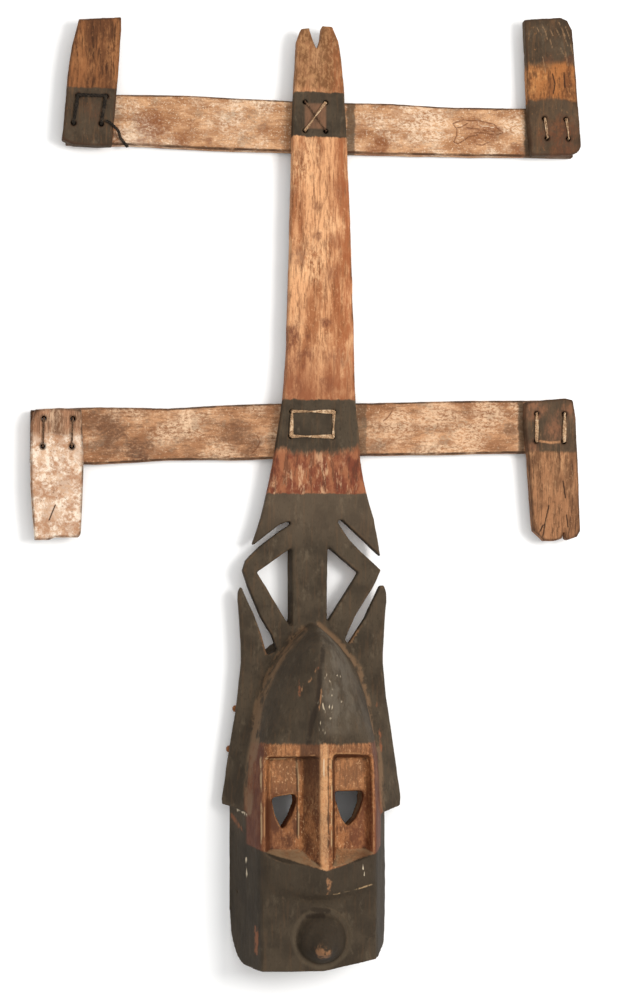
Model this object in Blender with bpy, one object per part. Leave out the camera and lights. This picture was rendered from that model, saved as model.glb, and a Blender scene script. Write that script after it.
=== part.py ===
"""A Dogon kanaga mask, carved in wood and lashed together, lying on its back.

Metres, +Z up. While it is modelled, X is 0 on the middle of the face, Y is the height above the chin
and Z is the height above the floor that the mask lies on. At the end everything is moved so that the
origin is the middle of the underside of its box.
"""

import math

import bmesh
import bpy
from mathutils import Matrix, Vector

# Clearance that touching pieces keep
GAP = 0.0003

# Cords and the holes that they pass through
CORD_RADIUS = 0.0017
HOLE_RADIUS = 0.0033
RIM_CORD_RADIUS = 0.0013
RIM_HOLE_RADIUS = 0.0021
KNOT_RADIUS = 0.0042

# Thicknesses, from the back of the mask to its front
BAR_THICKNESS = 0.014
BOARD_THICKNESS = 0.020
END_BOARD_THICKNESS = 0.016
EDGE_WEAR = 0.0015

# Lengths along the mask, each counted from the one before it
HEAD_LENGTH = 0.392
LATTICE_LENGTH = 0.118
LOWER_BAR_RISE = 0.107
BAR_SPACING = 0.361
PLANK_TOP_RISE = 0.116
NOTCH_DEPTH = 0.030

# The crossbars: how far they reach from the middle, their height and how far they tilt
UPPER_BAR_LEFT = 0.286
UPPER_BAR_RIGHT = 0.319
UPPER_BAR_HEIGHT = 0.0595
UPPER_BAR_TILT = math.radians(0.0)
LOWER_BAR_LEFT = 0.325
LOWER_BAR_RIGHT = 0.313
LOWER_BAR_HEIGHT = 0.0635
LOWER_BAR_TILT = math.radians(1.7)

# The head
FACE_HALF_WIDTH = 0.065
FLANK_FLARE = 0.245
KEEL_HEIGHT = 0.121
BROW_SLOPE = 0.18
WALL = 0.015
CHIN_ROUNDING = 0.052
CHIN_SLANT = 0.015
CHIN_FACE = 0.105
DOME_RUN = 0.045
RECESS_DEPTH = 0.030
NOSE_HALF_WIDTH = 0.019
RIDGE_WIDTH = 0.012
RIDGE_OFFSET = 0.007
SHELF_DROP = 0.019
LIP_RISE = 0.018
MOUTH_RADIUS = 0.033
MOUTH_SINK = 0.005
MOUTH_REACH = 0.044
MOUTH_DROOP = 0.009
EAR_THICKNESS = 0.016
EAR_SPREAD = 0.105
EAR_ROOT = 0.066

# The openwork
POST_LEFT = 0.022
POST_RIGHT = 0.018
POST_SLANT = 0.005
STRUT_INNER_REACH_LEFT = 0.064
STRUT_INNER_REACH_RIGHT = 0.055

# Places that follow from those
BAR_BACK = 2 * (GAP + CORD_RADIUS)
BAR_FRONT = BAR_BACK + BAR_THICKNESS
BOARD_BACK = BAR_FRONT + GAP
BOARD_FRONT = BOARD_BACK + BOARD_THICKNESS
END_BOARD_FRONT = BOARD_BACK + END_BOARD_THICKNESS
MOUTH_LEVEL = 0.100 * HEAD_LENGTH
LIP_LEVEL = 0.214 * HEAD_LENGTH
SHELF_LEVEL = 0.350 * HEAD_LENGTH
EAR_BOTTOM = 0.449 * HEAD_LENGTH
BROW_LEVEL = 0.620 * HEAD_LENGTH
DOME_LENGTH = HEAD_LENGTH - BROW_LEVEL
SLOT_LEVEL = HEAD_LENGTH + LATTICE_LENGTH
LOWER_BAR_LEVEL = SLOT_LEVEL + LOWER_BAR_RISE
UPPER_BAR_LEVEL = LOWER_BAR_LEVEL + BAR_SPACING
PLANK_TOP = UPPER_BAR_LEVEL + PLANK_TOP_RISE
HALF_WIDTH_AT_BOARD = FACE_HALF_WIDTH + FLANK_FLARE * (KEEL_HEIGHT - 0.012 - BOARD_FRONT)
RIM_HALF_WIDTH = HALF_WIDTH_AT_BOARD + FLANK_FLARE * BOARD_FRONT
RECESS_FLOOR = KEEL_HEIGHT - RECESS_DEPTH
CORNER_HEIGHT = KEEL_HEIGHT - BROW_SLOPE * FACE_HALF_WIDTH

# Colour, roughness and metallic value of each finish
FINISHES = {
    "mask": ((0.055, 0.045, 0.038), 0.72, 0.0),
    "crossbar": ((0.42, 0.29, 0.19), 0.80, 0.0),
    "end_board": ((0.30, 0.16, 0.08), 0.78, 0.0),
    "pale_cord": ((0.42, 0.29, 0.17), 0.85, 0.0),
    "black_cord": ((0.02, 0.018, 0.016), 0.70, 0.0),
    "fibre": ((0.28, 0.13, 0.06), 0.85, 0.0),
}


def clear_scene():
    for obj in list(bpy.data.objects):
        bpy.data.objects.remove(obj)


def collection(name, shown):
    group = bpy.data.collections.new(name)
    group.hide_render = not shown
    bpy.context.scene.collection.children.link(group)
    return group


def finish(name):
    """The Principled material of that finish, made once."""
    if name in bpy.data.materials:
        return bpy.data.materials[name]
    colour, roughness, metallic = FINISHES[name]
    material = bpy.data.materials.new(name)
    material.use_nodes = True
    shader = material.node_tree.nodes["Principled BSDF"]
    shader.inputs["Base Color"].default_value = (*colour, 1.0)
    shader.inputs["Roughness"].default_value = roughness
    shader.inputs["Metallic"].default_value = metallic
    return material


def add_mesh(name, mesh, group, material=None):
    """Puts a mesh in the scene. What goes into the carving collection is a helper that isn't rendered."""
    obj = bpy.data.objects.new(name, mesh)
    group.objects.link(obj)
    if group.hide_render:
        obj.hide_render = True
        obj.display_type = "WIRE"
    if material:
        mesh.materials.append(finish(material))
    return obj


def smooth_line(points, steps):
    """A Catmull-Rom curve through the points, with that many pieces between each two."""
    points = [Vector(p) for p in points]
    padded = [2 * points[0] - points[1], *points, 2 * points[-1] - points[-2]]
    line = []
    for before, start, end, after in zip(padded, padded[1:], padded[2:], padded[3:]):
        for step in range(steps):
            t = step / steps
            line.append(
                0.5
                * (
                    2 * start
                    + (end - before) * t
                    + (2 * before - 5 * start + 4 * end - after) * t**2
                    + (3 * start - before - 3 * end + after) * t**3
                )
            )
    return line + [points[-1]]


def between(table, place):
    """The value at that place, read from a table of (place, value) in rising order."""
    if place <= table[0][0]:
        return table[0][1]
    for (low, first), (high, second) in zip(table, table[1:]):
        if place <= high:
            return first + (second - first) * (place - low) / (high - low)
    return table[-1][1]


def without_straight_points(rings):
    """The matching rings without the points that lie on the line between their neighbours."""
    count = len(rings[0])
    kept = []
    for i in range(count):
        bend = 0.0
        for ring in rings:
            before, place, after = (Vector(ring[j % count]) for j in (i - 1, i, i + 1))
            along = (after - before).normalized()
            across = (place - before) - along * (place - before).dot(along)
            bend = max(bend, across.length)
        if bend > 2e-5:
            kept.append(i)
    return [[ring[i] for i in kept] for ring in rings]


def curve_mesh(name, curve):
    """The mesh that Blender makes of a curve, with its caps welded on."""
    guide = bpy.data.objects.new(name, curve)
    bpy.context.scene.collection.objects.link(guide)
    evaluated = guide.evaluated_get(bpy.context.evaluated_depsgraph_get())
    mesh = bpy.data.meshes.new_from_object(evaluated)
    mesh.name = name
    bpy.data.objects.remove(guide)
    shape = bmesh.new()
    shape.from_mesh(mesh)
    bmesh.ops.remove_doubles(shape, verts=shape.verts, dist=1e-6)
    bmesh.ops.recalc_face_normals(shape, faces=shape.faces)
    bmesh.ops.triangulate(shape, faces=shape.faces)
    shape.to_mesh(mesh)
    shape.free()
    return mesh


def slab_mesh(name, loops, back, front, edge=EDGE_WEAR):
    """A flat board between two heights, from its outline and any openings, with its edges worn off."""
    curve = bpy.data.curves.new(name, "CURVE")
    curve.dimensions = "2D"
    curve.fill_mode = "BOTH"
    curve.bevel_depth = edge
    curve.bevel_resolution = 0
    curve.offset = -edge
    curve.extrude = (front - back) / 2 - edge
    for loop in loops:
        [loop] = without_straight_points([loop])
        spline = curve.splines.new("POLY")
        spline.points.add(len(loop) - 1)
        for point, place in zip(spline.points, loop):
            point.co = (place[0], place[1], 0, 1)
        spline.use_cyclic_u = True
    mesh = curve_mesh(name, curve)
    mesh.transform(Matrix.Translation((0, 0, (front + back) / 2)))
    return mesh


def tube_mesh(name, points, radius, resolution=1, ring=False):
    """A cord along a line of points, with closed ends, or joined up as a ring."""
    curve = bpy.data.curves.new(name, "CURVE")
    curve.dimensions = "3D"
    curve.bevel_depth = radius
    curve.bevel_resolution = resolution
    curve.use_fill_caps = True
    spline = curve.splines.new("POLY")
    spline.points.add(len(points) - 1)
    for point, place in zip(spline.points, points):
        point.co = (*place, 1)
    spline.use_cyclic_u = ring
    return curve_mesh(name, curve)


def loft_mesh(name, rings):
    """A solid skinned over closed rings that all have as many points, with flat ends."""
    shape = bmesh.new()
    rows = [[shape.verts.new(point) for point in ring] for ring in rings]
    for row, following in zip(rows, rows[1:]):
        for i in range(len(row)):
            j = (i + 1) % len(row)
            shape.faces.new((row[i], row[j], following[j], following[i]))
    shape.faces.new(rows[0])
    shape.faces.new(rows[-1])
    bmesh.ops.recalc_face_normals(shape, faces=shape.faces)
    bmesh.ops.triangulate(shape, faces=shape.faces)
    mesh = bpy.data.meshes.new(name)
    shape.to_mesh(mesh)
    shape.free()
    return mesh


def ball_mesh(name, centre, radius):
    shape = bmesh.new()
    bmesh.ops.create_icosphere(
        shape, subdivisions=2, radius=radius, matrix=Matrix.Translation(centre)
    )
    mesh = bpy.data.meshes.new(name)
    shape.to_mesh(mesh)
    shape.free()
    return mesh


def rod_mesh(name, start, end, radius, sides=8):
    """A straight round rod between two points."""
    start, end = Vector(start), Vector(end)
    turn = (end - start).to_track_quat("Z", "Y").to_matrix().to_4x4()
    shape = bmesh.new()
    bmesh.ops.create_cone(
        shape,
        cap_ends=True,
        segments=sides,
        radius1=radius,
        radius2=radius,
        depth=(end - start).length,
        matrix=Matrix.Translation((start + end) / 2) @ turn,
    )
    mesh = bpy.data.meshes.new(name)
    shape.to_mesh(mesh)
    shape.free()
    return mesh


def combine(obj, helper, operation):
    """Joins the helper to the object or cuts it away. Sound triangles keep the next step closed."""
    modifier = obj.modifiers.new(helper.name, "BOOLEAN")
    modifier.operation = operation
    modifier.solver = "EXACT"
    modifier.object = helper
    triangles = obj.modifiers.new(helper.name + "_triangles", "TRIANGULATE")
    triangles.quad_method = "BEAUTY"
    triangles.ngon_method = "BEAUTY"


# The plank and the openwork below it


def plank_edge(side):
    """The plank's left or right edge, from the flared tip beside the slot up to the prong."""
    left = side < 0
    reaches = [
        (SLOT_LEVEL - (0.028 if left else 0.040), 0.0690 if left else 0.0815),
        (SLOT_LEVEL + 0.004, 0.0585 if left else 0.0735),
        (LOWER_BAR_LEVEL - 0.059, 0.0483 if left else 0.0610),
        (LOWER_BAR_LEVEL - 0.010, 0.0398 if left else 0.0562),
        (LOWER_BAR_LEVEL + 0.054, 0.0308 if left else 0.0512),
        (UPPER_BAR_LEVEL - 0.209, 0.0267 if left else 0.0490),
        (UPPER_BAR_LEVEL, 0.0216 if left else 0.0412),
        (PLANK_TOP - 0.053, 0.0188 if left else 0.0367),
        (PLANK_TOP - 0.018, 0.0168 if left else 0.0318),
    ]
    return [(side * reach, level) for level, reach in reaches]


def board_outline():
    """The outline of the board that carries the plank, the notch, the slots and the diamond."""
    top, slot = PLANK_TOP, SLOT_LEVEL
    notch = [
        (-0.0120, top - 0.0045),
        (-0.0030, top - 0.0035),
        (0.0020, top - 0.0180),
        (0.0065, top - NOTCH_DEPTH),
        (0.0105, top - 0.0160),
        (0.0125, top),
        (0.0250, top - 0.0005),
    ]
    right_diamond = [
        (0.0360, slot + 0.0025),
        (0.0300, slot + 0.0010),
        (0.0450, slot - 0.0210),
        (0.0580, slot - 0.0345),
        (0.0820, slot - 0.0560),
        (0.0735, slot - 0.0745),
        (0.0510, slot - 0.1110),
        (0.0390, slot - 0.1370),
        (0.0500, slot - 0.1480),
    ]
    left_diamond = [
        (-0.0530, slot - 0.1550),
        (-0.0400, slot - 0.1490),
        (-0.0460, slot - 0.1320),
        (-0.0590, slot - 0.1110),
        (-0.0735, slot - 0.0760),
        (-0.0800, slot - 0.0570),
        (-0.0765, slot - 0.0455),
        (-0.0600, slot - 0.0290),
        (-0.0370, slot - 0.0110),
        (-0.0240, slot - 0.0030),
        (-0.0250, slot + 0.0005),
        (-0.0365, slot - 0.0035),
    ]
    # Below the slots the board runs on inside the head, down past the top of the ears.
    inside = HALF_WIDTH_AT_BOARD - WALL
    under_dome = [
        (inside * 0.9, HEAD_LENGTH - 0.055),
        (inside * 0.9, HEAD_LENGTH - 0.110),
        (-inside * 0.9, HEAD_LENGTH - 0.110),
        (-inside * 0.9, HEAD_LENGTH - 0.055),
    ]
    left_edge = smooth_line(plank_edge(-1), 2)
    right_edge = smooth_line(plank_edge(1), 2)
    return [
        *left_edge,
        *notch,
        *reversed(right_edge),
        *right_diamond,
        *under_dome,
        *left_diamond,
    ]


def openings():
    """The two openings in the diamond, on either side of the post."""
    slot = SLOT_LEVEL
    left = [
        (-POST_LEFT, slot - 0.0300),
        (-STRUT_INNER_REACH_LEFT, slot - 0.0590),
        (-STRUT_INNER_REACH_LEFT + 0.033, slot - 0.1120),
        (-POST_LEFT, slot - 0.1250),
    ]
    right = [
        (POST_RIGHT + 0.001, slot - 0.0285),
        (STRUT_INNER_REACH_RIGHT, slot - 0.0590),
        (POST_RIGHT, slot - 0.1180),
    ]
    return [left, right]


def slant_post(mesh):
    """The post's left side leans outwards towards the back."""
    for vertex in mesh.vertices:
        place = vertex.co
        in_opening = SLOT_LEVEL - 0.127 < place.y < SLOT_LEVEL - 0.028
        if in_opening and abs(place.x + POST_LEFT) < 2 * EDGE_WEAR:
            place.x -= POST_SLANT * (BOARD_FRONT - place.z) / BOARD_THICKNESS


# The head


def head_outline():
    """(height above the chin, half-width where the board meets the head), from the chin to the tip."""
    wide, tip = HALF_WIDTH_AT_BOARD, HEAD_LENGTH
    curve = smooth_line(
        [
            (tip * 0.450, wide),
            (tip * 0.605, wide * 0.955),
            (tip * 0.714, wide * 0.860),
            (tip * 0.816, wide * 0.730),
            (tip * 0.906, wide * 0.500),
            (tip * 0.967, wide * 0.225),
            (tip, wide * 0.015),
        ],
        3,
    )
    box = [(-0.030 * tip, wide), (0.115 * tip, wide), (0.260 * tip, wide)]
    return box + [tuple(point) for point in curve]


def rim_half_width(level):
    """How far the back edge of the head reaches from its middle."""
    wide, tip = RIM_HALF_WIDTH, HEAD_LENGTH
    return between(
        [
            (tip * 0.628, wide),
            (tip * 0.747, wide * 0.925),
            (tip * 0.816, wide * 0.850),
            (tip * 0.880, wide * 0.730),
            (tip * 0.923, wide * 0.560),
            (tip * 0.964, wide * 0.300),
            (tip, wide * 0.020),
        ],
        level,
    )


def keel_height(level):
    """The height of the ridge down the forehead, which drops to the board at the tip."""
    share = min(1.0, max(0.0, (HEAD_LENGTH - level) / DOME_RUN))
    rise = (1 - (1 - share) ** 2.4) ** (1 / 2.4)
    return BOARD_FRONT + (KEEL_HEIGHT - BOARD_FRONT) * max(rise, 0.03)


def squareness(level):
    """How square the head is across: round at the tip and boxed at the brow and below."""
    return between(
        [
            (0.0, 14.0),
            (0.13, 6.0),
            (0.28, 3.6),
            (0.48, 2.7),
            (0.72, 2.3),
        ],
        (level - BROW_LEVEL) / DOME_LENGTH,
    )


def head_section(level, half_width, inset=0.0, top=None):
    """The head's outline across at that height: from the left back edge over the keel to the right.

    inset moves it inwards by a wall, and top is its greatest height where it isn't the keel.
    """
    top = keel_height(level) if top is None else top
    power = 2 / (squareness(level) if inset == 0 else 5.0)
    rim, wide = rim_half_width(level) - inset, half_width - inset
    rise = top - BOARD_FRONT
    taper = 1 - (HALF_WIDTH_AT_BOARD - FACE_HALF_WIDTH) / HALF_WIDTH_AT_BOARD
    half = [(rim, 0.0)]
    for angle in (0, 12, 26, 38, 48, 59, 70, 81):
        across = math.cos(math.radians(angle)) ** power
        up = math.sin(math.radians(angle)) ** power
        lean = 1 - (1 - taper) * up * (rise / (KEEL_HEIGHT - BOARD_FRONT))
        out = max(wide, 0.0) * across * lean
        half.append((out, BOARD_FRONT + rise * up - BROW_SLOPE * out * up * (inset == 0)))
    left = [(-out, up) for out, up in half]
    right = [(out, up) for out, up in reversed(half)]
    return left + [(0.0, top)] + right


def head_mesh():
    rings = []
    for level, half_width in head_outline():
        rings.append([(out, level, up) for out, up in head_section(level, half_width)])
    return loft_mesh("head", rings)


def hollow_depth(level):
    """How deep the hollow behind the face is: shallower behind the sunken eyes."""
    deepest = KEEL_HEIGHT - 0.030
    behind_eyes = RECESS_FLOOR - 0.018
    return between(
        [
            (WALL, deepest - 0.014),
            (LIP_LEVEL, deepest - 0.008),
            (SHELF_LEVEL * 0.91, behind_eyes),
            (BROW_LEVEL, behind_eyes),
            (BROW_LEVEL + DOME_LENGTH * 0.17, deepest - 0.004),
            (BROW_LEVEL + DOME_LENGTH * 0.60, deepest - 0.006),
            (BROW_LEVEL + DOME_LENGTH * 0.79, BOARD_FRONT + 0.022),
            (BROW_LEVEL + DOME_LENGTH * 0.88, BOARD_FRONT + 0.004),
        ],
        level,
    )


def hollow_mesh():
    """The inside, open at the back, which follows the outside by the wall."""
    shares = (0.077, 0.153, 0.230, 0.306, 0.357, 0.459, 0.548, 0.625, 0.689, 0.765, 0.816)
    levels = [WALL, *(HEAD_LENGTH * share for share in (*shares, 0.860, 0.893, 0.923, 0.949))]
    widths = head_outline()
    rings = []
    for level in levels:
        section = head_section(level, between(widths, level), WALL, hollow_depth(level))
        # The cut starts below the back edge, on the same slope as the wall.
        low = -0.010
        run = (section[-1][0] - section[-2][0]) * low / BOARD_FRONT
        section[0] = (section[0][0] + run, low)
        section[-1] = (section[-1][0] - run, low)
        rings.append([(out, level, up) for out, up in section])
    return loft_mesh("hollow", rings)


def prism_mesh(name, floor, floor_height, mouth, mouth_height):
    """A tapering cut between an outline on its floor and a matching one above it."""
    floor, mouth = without_straight_points([floor, mouth])
    rings = [
        [(x, y, floor_height) for x, y in floor],
        [(x, y, mouth_height) for x, y in mouth],
    ]
    return loft_mesh(name, rings)


def recess_mesh(side):
    """The sunken panel on one side of the nose. What is left between the two panels is the nose."""
    ridge = RIDGE_OFFSET + side * RIDGE_WIDTH / 2
    foot = side * NOSE_HALF_WIDTH
    left = side < 0
    outer_floor = side * (FACE_HALF_WIDTH - 0.011)
    frame = side * (FACE_HALF_WIDTH - 0.002)
    share = (CORNER_HEIGHT - RECESS_FLOOR) / RECESS_DEPTH
    outer_mouth = outer_floor + (frame - outer_floor) / share
    tip = SHELF_LEVEL - SHELF_DROP
    corner = SHELF_LEVEL - (0.006 if left else 0.008)
    brow_floor, brow_mouth = BROW_LEVEL - 0.003, BROW_LEVEL + (0.0 if left else 0.003)
    floor = [
        (outer_floor, brow_floor),
        (foot, brow_floor),
        (foot + side * 0.0006, SHELF_LEVEL + 0.008),
        (foot + side * 0.0030, SHELF_LEVEL),
        (foot + side * 0.0180, SHELF_LEVEL - 0.0012),
        (outer_floor, SHELF_LEVEL),
    ]
    mouth = [
        (outer_mouth, brow_mouth),
        (ridge, brow_mouth),
        (ridge, tip + 0.006),
        (RIDGE_OFFSET + side * 0.001, tip - 0.001),
        (foot + side * 0.014, tip + 0.001),
        (outer_mouth, corner),
    ]
    # The mouth of the cut is drawn out past the face along the same slopes.
    over = 1.25
    mouth = [
        (fx + (mx - fx) * over, fy + (my - fy) * over) for (fx, fy), (mx, my) in zip(floor, mouth)
    ]
    return prism_mesh(
        "recess", floor, RECESS_FLOOR, mouth, RECESS_FLOOR + RECESS_DEPTH * over
    )


def eye_mesh(side):
    """An eye hole, flat above and pointed below, which slants a little to the left on its way back."""
    top = BROW_LEVEL - 0.045
    if side < 0:
        outline = [
            (-0.052, top - 0.003),
            (-0.024, top + 0.001),
            (-0.0235, top - 0.008),
            (-0.029, top - 0.024),
            (-0.039, top - 0.040),
            (-0.047, top - 0.024),
        ]
    else:
        outline = [
            (0.019, top + 0.004),
            (0.053, top + 0.004),
            (0.0515, top - 0.010),
            (0.045, top - 0.026),
            (0.035, top - 0.036),
            (0.028, top - 0.026),
            (0.021, top - 0.006),
        ]
    back, front = RECESS_FLOOR - 0.026, RECESS_FLOOR + 0.012
    behind = [(x - 0.22 * (RECESS_FLOOR - back), y) for x, y in outline]
    before = [(x + 0.22 * (front - RECESS_FLOOR), y) for x, y in outline]
    return prism_mesh("eye", behind, back, before, front)


def chin_mesh():
    """What is cut away in front of the chin, up to the smiling edge of the upper lip."""
    far = 2 * RIM_HALF_WIDTH
    smile = [
        (FACE_HALF_WIDTH * share, LIP_LEVEL + LIP_RISE * share**2)
        for share in (-1.3, -1.0, -0.66, -0.33, 0.0, 0.33, 0.66, 1.0, 1.3)
    ]
    outline = [(-far, -far), *[(-far, smile[0][1])], *smile, (far, smile[-1][1]), (far, -far)]
    return prism_mesh("chin_cut", outline, CHIN_FACE, outline, KEEL_HEIGHT + 0.02)


def rounding_mesh():
    """What is cut away below the chin, rounded at the back and slanting upwards to the right."""
    reach, top = 0.040, KEEL_HEIGHT + 0.020
    rings = []
    for share in (-2.0, 0.1, 2.0):
        radius = CHIN_ROUNDING * (0.8 - 0.2 * share)
        profile = [(-reach, -0.010), (radius, -0.010)]
        for step in range(7):
            angle = math.pi / 2 * step / 6
            profile.append((radius * (1 - math.sin(angle)), radius * (1 - math.cos(angle))))
        profile += [(-0.0005, top), (-reach, top + 0.001)]
        slant = CHIN_SLANT * max(share, -share * 0.12)
        rings.append([(share * FACE_HALF_WIDTH, level + slant, up) for level, up in profile])
    return loft_mesh("chin_rounding", rings)


def turned_mesh(name, profile, centre, sides=18):
    """A turned shape from (radius, height, how far its middle has moved down the face)."""
    rings = []
    for radius, height, droop in profile:
        ring = []
        for step in range(sides):
            angle = 2 * math.pi * step / sides
            x = centre[0] + radius * math.cos(angle)
            y = centre[1] - droop + radius * math.sin(angle)
            ring.append((x, y, height))
        rings.append(ring)
    return loft_mesh(name, rings)


def mouth_centre():
    return (0.003, MOUTH_LEVEL)


def mouth_ring_mesh():
    """The round sinking that the mouth stands in."""
    floor = CHIN_FACE - MOUTH_SINK
    profile = [
        (MOUTH_RADIUS - 0.003, floor, 0.0),
        (MOUTH_RADIUS, CHIN_FACE - 0.001, 0.0),
        (MOUTH_RADIUS + 0.004, KEEL_HEIGHT + 0.03, 0.0),
    ]
    return turned_mesh("mouth_ring", profile, mouth_centre())


def mouth_mesh():
    """The pouting mouth, a blunt cone whose tip hangs a little."""
    floor = CHIN_FACE - MOUTH_SINK
    shares = ((-0.10, 0.90), (0.0, 0.90), (0.25, 0.76), (0.55, 0.50), (0.82, 0.30), (0.96, 0.19), (1.0, 0.09))
    profile = [
        (MOUTH_RADIUS * width, floor + MOUTH_REACH * height, MOUTH_DROOP * max(height, 0.0))
        for height, width in shares
    ]
    return turned_mesh("mouth", profile, mouth_centre())


def ear_mesh(side):
    """One ear: flat in the board's plane at its tip, and swept back from the face at its bottom."""
    left = side < 0
    shift = -0.002 if left else 0.001
    tip = HEAD_LENGTH + (0.042 if left else 0.044)
    swept = HEAD_LENGTH - 0.060 - EAR_BOTTOM
    outer_edge = [
        (EAR_BOTTOM, EAR_SPREAD - 0.001),
        (EAR_BOTTOM + swept * 0.07, EAR_SPREAD),
        (EAR_BOTTOM + swept * 0.45, EAR_SPREAD - 0.0085),
        (EAR_BOTTOM + swept * 0.81, EAR_SPREAD - 0.0175),
        (HEAD_LENGTH - 0.043, EAR_SPREAD - 0.0220),
        (HEAD_LENGTH + 0.010, EAR_SPREAD - 0.0190),
        (HEAD_LENGTH + 0.033, EAR_SPREAD - 0.0165),
        (tip, EAR_SPREAD - 0.0205),
    ]
    slot_edge = [
        (HEAD_LENGTH - 0.045, 0.0480 if left else 0.0330),
        (HEAD_LENGTH - 0.037, 0.0515 if left else 0.0365),
        (HEAD_LENGTH - 0.031, 0.0532 if left else 0.0385),
        (HEAD_LENGTH - 0.025, 0.0548 if left else 0.0435),
        (HEAD_LENGTH - 0.014, 0.0580 if left else 0.0500),
        (HEAD_LENGTH + 0.008, 0.0660 if left else 0.0640),
        (HEAD_LENGTH + 0.027, 0.0750 if left else 0.0725),
        (HEAD_LENGTH + 0.036, 0.0790 if left else 0.0775),
        (tip, 0.0815),
    ]
    levels = [EAR_BOTTOM + swept * share for share in (0, 0.09, 0.26, 0.45, 0.66, 0.83, 1)]
    levels += [HEAD_LENGTH + run for run in (-0.045, -0.037, -0.031, -0.025, -0.014)]
    levels += [HEAD_LENGTH + 0.008, HEAD_LENGTH + 0.025, HEAD_LENGTH + 0.036, tip]
    widths = head_outline()
    flat_back, flat_front = BOARD_BACK + 0.0015, BOARD_FRONT - 0.0008
    rings = []
    for level in levels:
        sweep = max(0.0, 1 - (level - EAR_BOTTOM) / swept) ** 0.8
        outer = between(outer_edge, level) + shift
        if level > HEAD_LENGTH - 0.046:
            inner = between(slot_edge, level)
        else:
            inner = between(widths, level) - WALL * 0.8
        root_front = flat_front + (EAR_ROOT + 0.004 - flat_front) * sweep
        root_back = root_front - (flat_front - flat_back)
        tip_front = flat_front - 0.006 * sweep
        tip_back = tip_front - EAR_THICKNESS + 0.001
        middle = (inner + outer) / 2
        sink = 0.0005 + 0.0025 * sweep
        worn = min(0.0030, 0.3 * (outer - inner))
        section = [
            (inner, root_back),
            (middle, (root_back + tip_back) / 2 - sink),
            (outer - worn, tip_back),
            (outer, tip_back + 0.004),
            (outer, tip_front - 0.003),
            (outer - worn, tip_front),
            (middle, (root_front + tip_front) / 2 - sink),
            (inner, root_front),
        ]
        ring = []
        for out, up in section:
            # The bottom edge rises towards the outer corner.
            rise = 0.008 * (out - inner) / (outer - inner) - 0.004 * (not left)
            ring.append((side * out, level + rise * (level == EAR_BOTTOM), up))
        rings.append(ring)
    return loft_mesh("ear", rings)


# The crossbars and the boards on their ends


def bar_level(name, x):
    """The height of a crossbar's middle line at that distance from the mask's middle."""
    if name == "upper":
        return UPPER_BAR_LEVEL + x * math.tan(UPPER_BAR_TILT)
    return LOWER_BAR_LEVEL + x * math.tan(LOWER_BAR_TILT)


BARS = {
    "upper": (UPPER_BAR_LEFT, UPPER_BAR_RIGHT, UPPER_BAR_HEIGHT),
    "lower": (LOWER_BAR_LEFT, LOWER_BAR_RIGHT, LOWER_BAR_HEIGHT),
}

# How uneven the hand-cut edges of each bar are, from its left end to its right end
UNEVEN_EDGES = {
    "upper": (
        (0.0000, 0.0020, 0.0030, 0.0010, -0.0005, 0.0005, -0.0020, -0.0010, 0.0020),
        (0.0010, 0.0020, 0.0000, -0.0010, -0.0004, -0.0012, -0.0006, 0.0006, 0.0010),
    ),
    "lower": (
        (-0.0010, 0.0010, -0.0020, 0.0010, 0.0020, 0.0000, 0.0010, 0.0003, -0.0010),
        (0.0010, -0.0020, 0.0010, 0.0000, 0.0006, 0.0020, 0.0008, 0.0012, -0.0010),
    ),
}


def bar_outline(name):
    left, right, height = BARS[name]
    top, bottom = UNEVEN_EDGES[name]
    above, below = [], []
    for i, (up, down) in enumerate(zip(top, bottom)):
        x = -left + (left + right) * i / (len(top) - 1)
        above.append((x, bar_level(name, x) + height / 2 + up))
        below.append((x, bar_level(name, x) - height / 2 + down))
    return above + below[::-1]


# Each crossing: its bar, its middle, how far apart its four holes are across and up, and their lean.
# The middle of a crossing on the end of a bar is counted from that end.
CROSSINGS = {
    "upper_centre": ("upper", 0.0045, 0.0245, 0.0340, 0.0000, 0.0075),
    "lower_centre": ("lower", 0.0010, 0.0490, 0.0290, 0.0010, 0.0065),
    "upper_left": ("upper", -UPPER_BAR_LEFT + 0.027, 0.0320, 0.0325, 0.0050, 0.0090),
    "upper_right": ("upper", UPPER_BAR_RIGHT - 0.0245, 0.0260, 0.0235, -0.0030, 0.0020),
    "lower_left": ("lower", -LOWER_BAR_LEFT + 0.0315, 0.0330, 0.0325, 0.0010, 0.0030),
    "lower_right": ("lower", LOWER_BAR_RIGHT - 0.0280, 0.0335, 0.0330, 0.0005, -0.0025),
}


def crossing_middle(name):
    bar, x, _, _, _, rise = CROSSINGS[name]
    return Vector((x, bar_level(bar, x) + rise))


def holes(name):
    """The middles of a crossing's four holes."""
    _, _, across, up, lean, _ = CROSSINGS[name]
    middle = crossing_middle(name)
    found = {}
    for corner in ("top left", "top right", "bottom right", "bottom left"):
        x = across / 2 if "right" in corner else -across / 2
        y = 1 if "top" in corner else -1
        found[corner] = middle + Vector((x + y * lean / 2, y * up / 2))
    return found


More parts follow.
